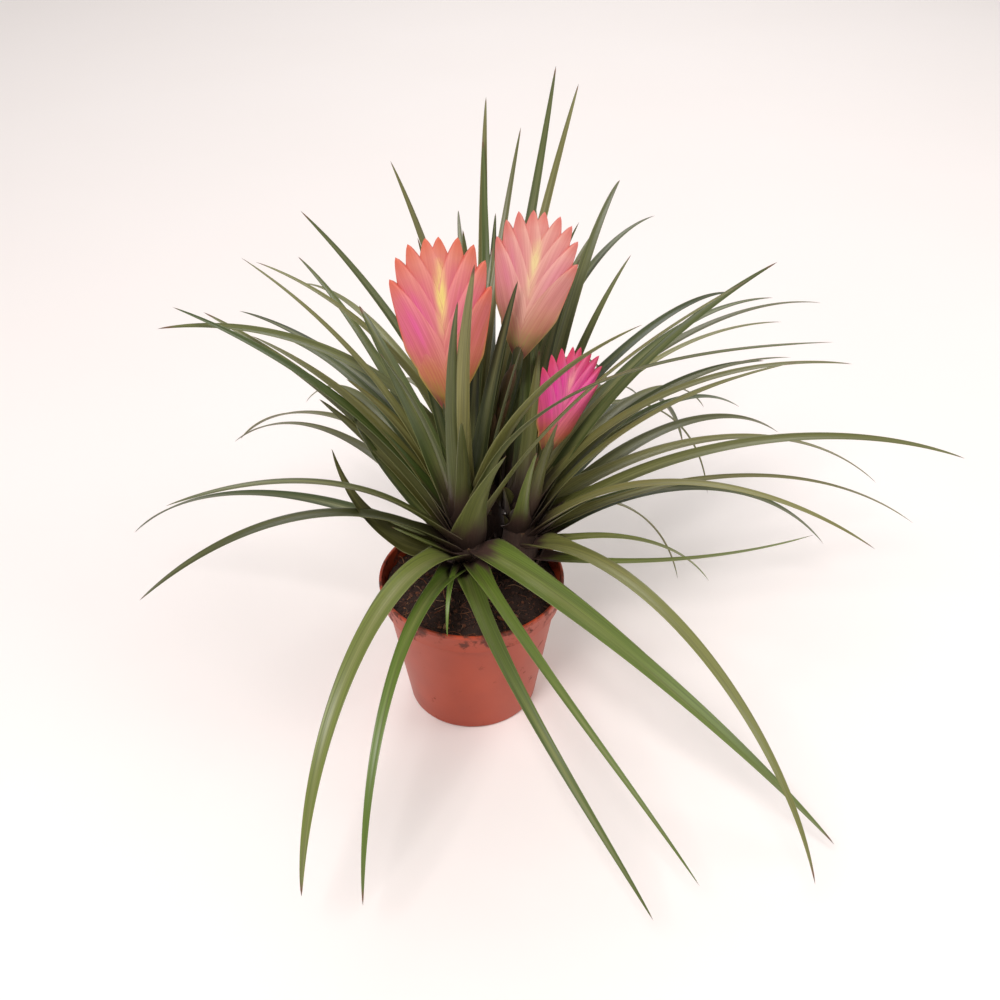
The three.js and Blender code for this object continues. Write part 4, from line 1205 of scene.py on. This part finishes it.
for rosette in ROSETTES:
    quill, name = rosette["quill"], "quill_head_" + rosette["name"]
    shoulder = SHOULDERS[rosette["name"]]
    ribbons = [bract_ribbon(quill, k, shoulder) for k in range(-BASE_BRACT_COUNT, BRACT_COUNT)]
    bracts = run_tree(name, line_mesh(name, ribbons), bract_tree, {"Material": bract_finish[rosette["name"]]})
    heart = run_tree("heart", line_mesh("heart", [heart_line(quill)]), skin_tree,
                     {"Ring points": 20, "Material": green_stalk})
    piece = joined(name, [bracts, heart])
    report(piece)
    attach(piece, "root")
    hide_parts("quill_" + rosette["name"])

# %% [markdown]
# ## The pot
#
# A nursery pot is injection-moulded polypropylene, little more than a millimetre thick, with a wider collar
# so that pots stack, and holes in its bottom. Spinning an outline gives the form. The holes repeat on a
# circle, so a small node tree places eight round cutters there and takes them away from the pot.

# %% Rings, and the shell between them
def ring_of(body, radius, height, sides):
    """A ring of vertices round the axis, or one vertex on it."""
    ring = []
    for i in range(sides if radius > 1e-6 else 1):
        angle = 2 * math.pi * i / sides
        x, y = radius * MM * math.cos(angle), radius * MM * math.sin(angle)
        ring.append(body.verts.new((x, y, height * MM)))
    return ring


def closed_shell(name, body, rings, sides):
    """A smooth mesh of faces from each ring to the next."""
    for low, high in zip(rings, rings[1:]):
        for i in range(sides):
            j = (i + 1) % sides
            corners = [low[i % len(low)], low[j % len(low)], high[j % len(high)], high[i % len(high)]]
            body.faces.new(list(dict.fromkeys(corners)))
    bmesh.ops.recalc_face_normals(body, faces=body.faces)
    for face in body.faces:
        face.smooth = True
    mesh = bpy.data.meshes.new(name)
    body.to_mesh(mesh)
    body.free()
    return mesh


print("the pot's wall is", POT_WALL, "mm thick")

# %% Spin the outline
POT_SIDES = 160


def spin(name, outline, sides):
    """A closed shell from an outline of (radius, height) in mm that starts and ends on the axis."""
    body = bmesh.new()
    rings = [ring_of(body, radius, height, sides) for radius, height in outline]
    return closed_shell(name, body, rings, sides)


pot_outline = [
    (0, 0), (BASE_RADIUS - 2.4, 0), (BASE_RADIUS - 1.2, 0.25), (BASE_RADIUS - 0.3, 1.1), (BASE_RADIUS, 2),
    (WALL_TOP_RADIUS - 0.1, COLLAR_FOOT - 0.8), (WALL_TOP_RADIUS + 0.2, COLLAR_FOOT - 0.1),
    (WALL_TOP_RADIUS + 0.8, COLLAR_FOOT + 0.25), (COLLAR_RADIUS - 0.8, COLLAR_FOOT + 0.6),
    (COLLAR_RADIUS - 0.2, COLLAR_FOOT + 0.9), (COLLAR_RADIUS, COLLAR_FOOT + 1.6),
    (RIM_RADIUS - 0.5, POT_HEIGHT - 3.6), (RIM_RADIUS - 0.1, POT_HEIGHT - 3.1),
    (RIM_RADIUS, POT_HEIGHT - 2.5), (RIM_RADIUS, POT_HEIGHT - 0.7), (RIM_RADIUS - 0.25, POT_HEIGHT - 0.2),
    (RIM_RADIUS - 0.8, POT_HEIGHT), (RIM_RADIUS - 1.4, POT_HEIGHT - 0.05),
    (RIM_RADIUS - POT_WALL - 0.55, POT_HEIGHT - 0.5), (RIM_RADIUS - POT_WALL - 0.7, POT_HEIGHT - 1.4),
    (COLLAR_RADIUS - POT_WALL, COLLAR_FOOT + 2.5), (WALL_TOP_RADIUS - POT_WALL, COLLAR_FOOT),
    (BASE_RADIUS - POT_WALL, POT_WALL + 1), (BASE_RADIUS - 3, POT_WALL), (0, POT_WALL),
]
pot_mesh = spin("nursery_pot", pot_outline, POT_SIDES)
print("pot outline:", len(pot_outline), "points")

# %% [markdown]
# ### Moulded polypropylene
#
# Polypropylene looks a little waxy: satin, with soft highlights and a slight glow where light enters the thin
# wall. The material gives the satin and the soft highlights, not the glow. Moulding leaves it smooth with a
# faint ripple. In use it gathers dust and smears of peat, mostly inside the rim and just under it, so a noise
# mask darkens the plastic there.

# %% Terracotta-coloured moulded polypropylene
moulded_pot, tree, shader = open_material("terracotta moulded polypropylene")
there = add(tree, "ShaderNodeTexCoord").outputs["Object"]
height = add(tree, "ShaderNodeSeparateXYZ", {0: there}).outputs["Z"]
ripple = add(tree, "ShaderNodeTexNoise", {"Vector": there, "Scale": 30.0, "Detail": 2.0})
speck = add(tree, "ShaderNodeTexNoise", {"Vector": there, "Scale": 420.0, "Detail": 3.0})
plastic = add(tree, "ShaderNodeMix", {"Factor": ripple, "A": linear("#98351b"), "B": linear("#ba4926")},
              data_type="RGBA")
smear = add(tree, "ShaderNodeTexNoise", {"Vector": there, "Scale": 85.0, "Detail": 5.0, "Roughness": 0.65})
near_rim = add(tree, "ShaderNodeMapRange", {"Value": height, "From Min": 0.078, "From Max": 0.104,
                                            "To Min": 0.0, "To Max": 0.17})
dirt = add(tree, "ShaderNodeMath", {0: smear, 1: near_rim})
dirt = add(tree, "ShaderNodeMapRange", {"Value": dirt, "From Min": 0.62, "From Max": 0.76, "To Max": 0.8},
           interpolation_type="SMOOTHSTEP")
colour = add(tree, "ShaderNodeMix", {"Factor": dirt, "A": plastic, "B": linear("#3b241a")}, data_type="RGBA")
rough = add(tree, "ShaderNodeMapRange", {"Value": dirt, "To Min": 0.42, "To Max": 0.85})
both = add(tree, "ShaderNodeMath", {0: speck, 1: 0.25, 2: ripple}, operation="MULTIPLY_ADD")
bump = add(tree, "ShaderNodeBump", {"Height": both, "Strength": 0.25, "Distance": 0.0004})
feed(tree, shader, {"Base Color": colour, "Roughness": rough, "Normal": bump, "IOR": 1.49})
print("pot material:", len(tree.nodes), "nodes")

# %% Cut the drainage holes
hole_tree, start = open_tree("drainage holes", [
    ("Holes", "NodeSocketInt", 8), ("Circle radius", "NodeSocketFloat", 0.034),
    ("Hole radius", "NodeSocketFloat", 0.004), ("Material", "NodeSocketMaterial", None)])
circle = add(hole_tree, "GeometryNodeMeshCircle",
             {"Vertices": start.outputs["Holes"], "Radius": start.outputs["Circle radius"]})
cutter = add(hole_tree, "GeometryNodeMeshCylinder",
             {"Vertices": 28, "Radius": start.outputs["Hole radius"], "Depth": 0.008})
cutters = add(hole_tree, "GeometryNodeInstanceOnPoints",
              {"Points": circle, "Instance": cutter.outputs["Mesh"]})
cutters = add(hole_tree, "GeometryNodeRealizeInstances", {"Geometry": cutters})
cut = add(hole_tree, "GeometryNodeMeshBoolean", {"Mesh 1": start.outputs["Geometry"], "Mesh 2": cutters},
          operation="DIFFERENCE", solver="EXACT")
end_tree(hole_tree, cut.outputs["Mesh"], start)
pot = run_tree("nursery_pot", pot_mesh, hole_tree, {"Material": moulded_pot})
pot.data.set_sharp_from_angle(angle=math.radians(35))
report(pot)
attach(pot, "root")
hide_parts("pot")

# %% [markdown]
# ## The peat
#
# Potting mix is crumbly peat with bits of bark and pale root fibres. A flat dark disc would look like
# chocolate, and displacement alone gives soft waves. So the bed is a mesh with small lumps, and a tree
# scatters real crumbs over it: every crumb is a small rough ball that noise makes different, and flat
# chips and thin fibres lie between them.

# %% Bed of peat
PEAT_GAP = 0.55
PEAT_FLOOR = 2.9


def soil_height(fraction, angle):
    """Height of the peat, at a share of its radius and an angle."""
    mound = SOIL_MOUND * (1 - fraction ** 2)
    lumps = math.sin(3 * angle + 5 * fraction) + math.sin(7 * angle - 9 * fraction)
    return SOIL_EDGE_HEIGHT + mound + 0.8 * lumps * (1 - fraction * 0.4)


def peat_bed(rings=46, sides=150):
    """A body of peat that keeps clear of the pot's wall, with a lumpy surface."""
    inset = POT_WALL + PEAT_GAP
    reach = COLLAR_RADIUS - inset
    wall = [(0, PEAT_FLOOR), (BASE_RADIUS - inset - 0.5, PEAT_FLOOR), (WALL_TOP_RADIUS - inset, COLLAR_FOOT),
            (WALL_TOP_RADIUS - inset, COLLAR_FOOT + 3)]
    body = bmesh.new()
    loops = [ring_of(body, radius, height, sides) for radius, height in wall]
    for ring in range(rings, -1, -1):
        fraction = ring / rings
        loop = []
        for i in range(sides if ring else 1):
            angle = 2 * math.pi * i / sides
            x, y = reach * fraction * math.cos(angle), reach * fraction * math.sin(angle)
            rough = noise.fractal(Vector((x, y, 3.0)) * 0.22, 0.9, 2.1, 4)
            z = soil_height(fraction, angle) + 1.7 * rough - 0.6
            loop.append(body.verts.new((x * MM, y * MM, z * MM)))
        loops.append(loop)
    return closed_shell("peat", body, loops, sides)


peat_mesh = peat_bed()
print("peat bed:", len(peat_mesh.polygons), "faces")

# %% [markdown]
# ### Peat material
#
# Moist peat is almost black and never shines. Crumbs differ: some are dry and brown, bark chips are
# reddish, fibres are straw-coloured. The tree writes a random "tint" on every crumb, and the material
# turns it into one of those colours.

# %% Crumbly peat
peat_mix, tree, shader = open_material("crumbly peat and bark")
there = add(tree, "ShaderNodeTexCoord").outputs["Object"]
tint = add(tree, "ShaderNodeAttribute", attribute_name="tint").outputs["Fac"]
grain = add(tree, "ShaderNodeTexNoise", {"Vector": there, "Scale": 900.0, "Detail": 4.0})
ramp = add(tree, "ShaderNodeValToRGB", {"Fac": tint})
set_stops(ramp, [(0.0, "#23150f"), (0.5, "#392219"), (0.8, "#573526"), (0.9, "#764429"), (1.0, "#98795b")])
shade = add(tree, "ShaderNodeMapRange", {"Value": grain, "To Min": 0.55, "To Max": 1.5})
colour = add(tree, "ShaderNodeVectorMath", {0: ramp.outputs["Color"], "Scale": shade}, operation="SCALE")
bump = add(tree, "ShaderNodeBump", {"Height": grain, "Strength": 0.9, "Distance": 0.0008})
feed(tree, shader, {"Base Color": colour, "Roughness": 0.92, "Normal": bump})
print("peat material:", len(tree.nodes), "nodes")

# %% Shapes of crumbs, chips and fibres
crumb_tree, start = open_tree("crumbs on peat", [
    ("Crumbs per area", "NodeSocketFloat", 120000.0), ("Chips per area", "NodeSocketFloat", 12000.0),
    ("Fibres per area", "NodeSocketFloat", 34000.0), ("Crumb size", "NodeSocketFloat", 0.00085),
    ("Seed", "NodeSocketInt", 4), ("Material", "NodeSocketMaterial", None)])
facing = add(crumb_tree, "ShaderNodeSeparateXYZ", {0: add(crumb_tree, "GeometryNodeInputNormal")})
is_top = add(crumb_tree, "FunctionNodeCompare", {"A": facing.outputs["Z"], "B": 0.3},
             data_type="FLOAT", operation="GREATER_THAN")
ball = add(crumb_tree, "GeometryNodeMeshIcoSphere", {"Radius": 1.0, "Subdivisions": 2})
chip = add(crumb_tree, "GeometryNodeMeshIcoSphere", {"Radius": 1.0, "Subdivisions": 2})
chip = add(crumb_tree, "GeometryNodeTransform", {"Geometry": chip.outputs["Mesh"], "Scale": (2.4, 1.3, 0.45)})
bent = add(crumb_tree, "GeometryNodeCurveQuadraticBezier",
           {"Resolution": 7, "Start": (-5.5, 0, 0), "Middle": (0.5, 4.0, 1.6), "End": (5.0, -1.0, 0)})
thread = add(crumb_tree, "GeometryNodeCurvePrimitiveCircle", {"Resolution": 4, "Radius": 0.16})
fibre = add(crumb_tree, "GeometryNodeCurveToMesh",
            {"Curve": bent, "Profile Curve": thread, "Fill Caps": True})
print("shapes of litter:", len(crumb_tree.nodes), "nodes so far")

# %% Scatter them, small ones most
TINT_SEED = 77
LITTER = [(ball.outputs["Mesh"], "Crumbs per area", (0.0, 0.86)), (chip, "Chips per area", (0.45, 0.97)),
          (fibre, "Fibres per area", (0.78, 1.0))]
scattered = []
for order, (shape, density, tints) in enumerate(LITTER):
    seed = add(crumb_tree, "ShaderNodeMath", {0: start.outputs["Seed"], 1: float(10 * order)})
    spots = add(crumb_tree, "GeometryNodeDistributePointsOnFaces",
                {"Mesh": start.outputs["Geometry"], "Selection": is_top, "Density": start.outputs[density],
                 "Seed": seed}, distribute_method="RANDOM")
    spin_by = add(crumb_tree, "FunctionNodeRandomValue",
                  {"Min": (-0.5, -0.5, 0.0), "Max": (0.5, 0.5, 6.28), "Seed": seed}, data_type="FLOAT_VECTOR")
    draw = add(crumb_tree, "FunctionNodeRandomValue", {"Min": 0.0, "Max": 1.0, "Seed": seed},
               data_type="FLOAT")
    steep = add(crumb_tree, "ShaderNodeMath", {0: draw, 1: 3.0}, operation="POWER")
    size = add(crumb_tree, "ShaderNodeMapRange", {"Value": steep, "To Min": 0.5, "To Max": 1.9})
    size = add(crumb_tree, "ShaderNodeMath", {0: size, 1: start.outputs["Crumb size"]}, operation="MULTIPLY")
    laid = add(crumb_tree, "GeometryNodeInstanceOnPoints",
               {"Points": spots.outputs["Points"], "Instance": shape, "Rotation": spin_by, "Scale": size})
    colour = add(crumb_tree, "FunctionNodeRandomValue",
                 {"Min": tints[0], "Max": tints[1], "Seed": TINT_SEED}, data_type="FLOAT")
    tinted = add(crumb_tree, "GeometryNodeStoreNamedAttribute",
                 {"Geometry": laid, "Name": "tint", "Value": colour}, data_type="FLOAT", domain="INSTANCE")
    scattered.append(tinted)
print("kinds of litter scattered:", len(scattered))

# %% Roughen the crumbs and end the tree
crumbs = add(crumb_tree, "GeometryNodeJoinGeometry")
for one in scattered:
    crumb_tree.links.new(one.outputs[0], crumbs.inputs[0])
crumbs = add(crumb_tree, "GeometryNodeRealizeInstances", {"Geometry": crumbs})
here = add(crumb_tree, "GeometryNodeInputPosition")
wobble = add(crumb_tree, "ShaderNodeTexNoise", {"Vector": here, "Scale": 900.0, "Detail": 1.0})
wobble = add(crumb_tree, "ShaderNodeVectorMath", {0: wobble.outputs["Color"], 1: (0.5, 0.5, 0.5)},
             operation="SUBTRACT")
wobble = add(crumb_tree, "ShaderNodeVectorMath", {0: wobble, "Scale": 0.0016}, operation="SCALE")
crumbs = add(crumb_tree, "GeometryNodeSetPosition", {"Geometry": crumbs, "Offset": wobble})
crumbs = add(crumb_tree, "GeometryNodeSetShadeSmooth", {"Geometry": crumbs, "Shade Smooth": False})
bed = add(crumb_tree, "GeometryNodeStoreNamedAttribute",
          {"Geometry": start.outputs["Geometry"], "Name": "tint", "Value": 0.2}, data_type="FLOAT",
          domain="POINT")
whole = add(crumb_tree, "GeometryNodeJoinGeometry")
crumb_tree.links.new(bed.outputs[0], whole.inputs[0])
crumb_tree.links.new(crumbs.outputs[0], whole.inputs[0])
end_tree(crumb_tree, whole, start)
peat = run_tree("peat", peat_mesh, crumb_tree, {"Material": peat_mix})
report(peat)
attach(peat, "root")
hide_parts("soil")

# %% [markdown]
# ## Stage, light and camera
#
# The plant stands on a plain pale table. A large soft lamp from the upper left gives form, weaker ones from
# the right and from behind open the shadows, and the pale surroundings do the rest: that is how plants are
# photographed for a list. The camera looks down at about 36 degrees from 90 centimetres away, near enough
# for the front leaves to come towards the viewer.

# %% Pale table
pale_table, tree, shader = open_material("pale painted board")
there = add(tree, "ShaderNodeTexCoord").outputs["Object"]
soft = add(tree, "ShaderNodeTexNoise", {"Vector": there, "Scale": 3.0, "Detail": 3.0})
colour = add(tree, "ShaderNodeMix", {"Factor": soft, "A": linear("#fbf4f1"), "B": linear("#fef8f6")},
             data_type="RGBA")
feed(tree, shader, {"Base Color": colour, "Roughness": 0.7})
table_mesh = bpy.data.meshes.new("table_top")
table_mesh.from_pydata([(-4, -3, 0), (4, -3, 0), (4, 6, 0), (-4, 6, 0)], [], [(0, 1, 2, 3)])
table_mesh.materials.append(pale_table)
table_top = bpy.data.objects.new("table_top", table_mesh)
bpy.context.collection.objects.link(table_top)
print("table:", [round(v, 2) for v in table_top.dimensions])

# %% Light
def soft_lamp(name, place, target, size, power, tint):
    """A round lamp of this size in metres and power in watts, turned to its target."""
    lamp = bpy.data.lights.new(name, "AREA")
    lamp.shape = "DISK"
    lamp.size = size
    lamp.energy = power
    lamp.color = linear(tint)[:3]
    holder = bpy.data.objects.new(name, lamp)
    holder.location = place
    holder.rotation_euler = (Vector(target) - Vector(place)).to_track_quat("-Z", "Y").to_euler()
    bpy.context.collection.objects.link(holder)


soft_lamp("main_lamp", (-0.6, -1.2, 2.1), (0, 0, 0.15), 0.8, 37, "#fffaf9")
soft_lamp("side_lamp", (1.7, -0.3, 1.4), (0, 0, 0.15), 1.3, 12, "#fffdfb")
soft_lamp("back_lamp", (0.3, 1.9, 1.7), (0, 0, 0.2), 1.5, 15, "#ffffff")
world = bpy.data.worlds.new("pale surroundings")
bpy.context.scene.world = world
world.use_nodes = True
background = world.node_tree.nodes["Background"]
feed(world.node_tree, background, {"Color": linear("#fffcfa"), "Strength": 0.42})
bpy.context.scene.view_settings.view_transform = "Standard"

# %% Camera
CAMERA_PLACE = (0.0, -0.724, 0.703)
CAMERA_TARGET = (0.02, 0.0, 0.17)
camera_data = bpy.data.cameras.new("camera")
camera_data.lens = 48
camera_data.sensor_width = 36
camera = bpy.data.objects.new("camera", camera_data)
camera.location = CAMERA_PLACE
camera.rotation_euler = (Vector(CAMERA_TARGET) - camera.location).to_track_quat("-Z", "Y").to_euler()
bpy.context.collection.objects.link(camera)
bpy.context.scene.camera = camera
print("camera looks down", round(90 - math.degrees(camera.rotation_euler.x), 1), "degrees")
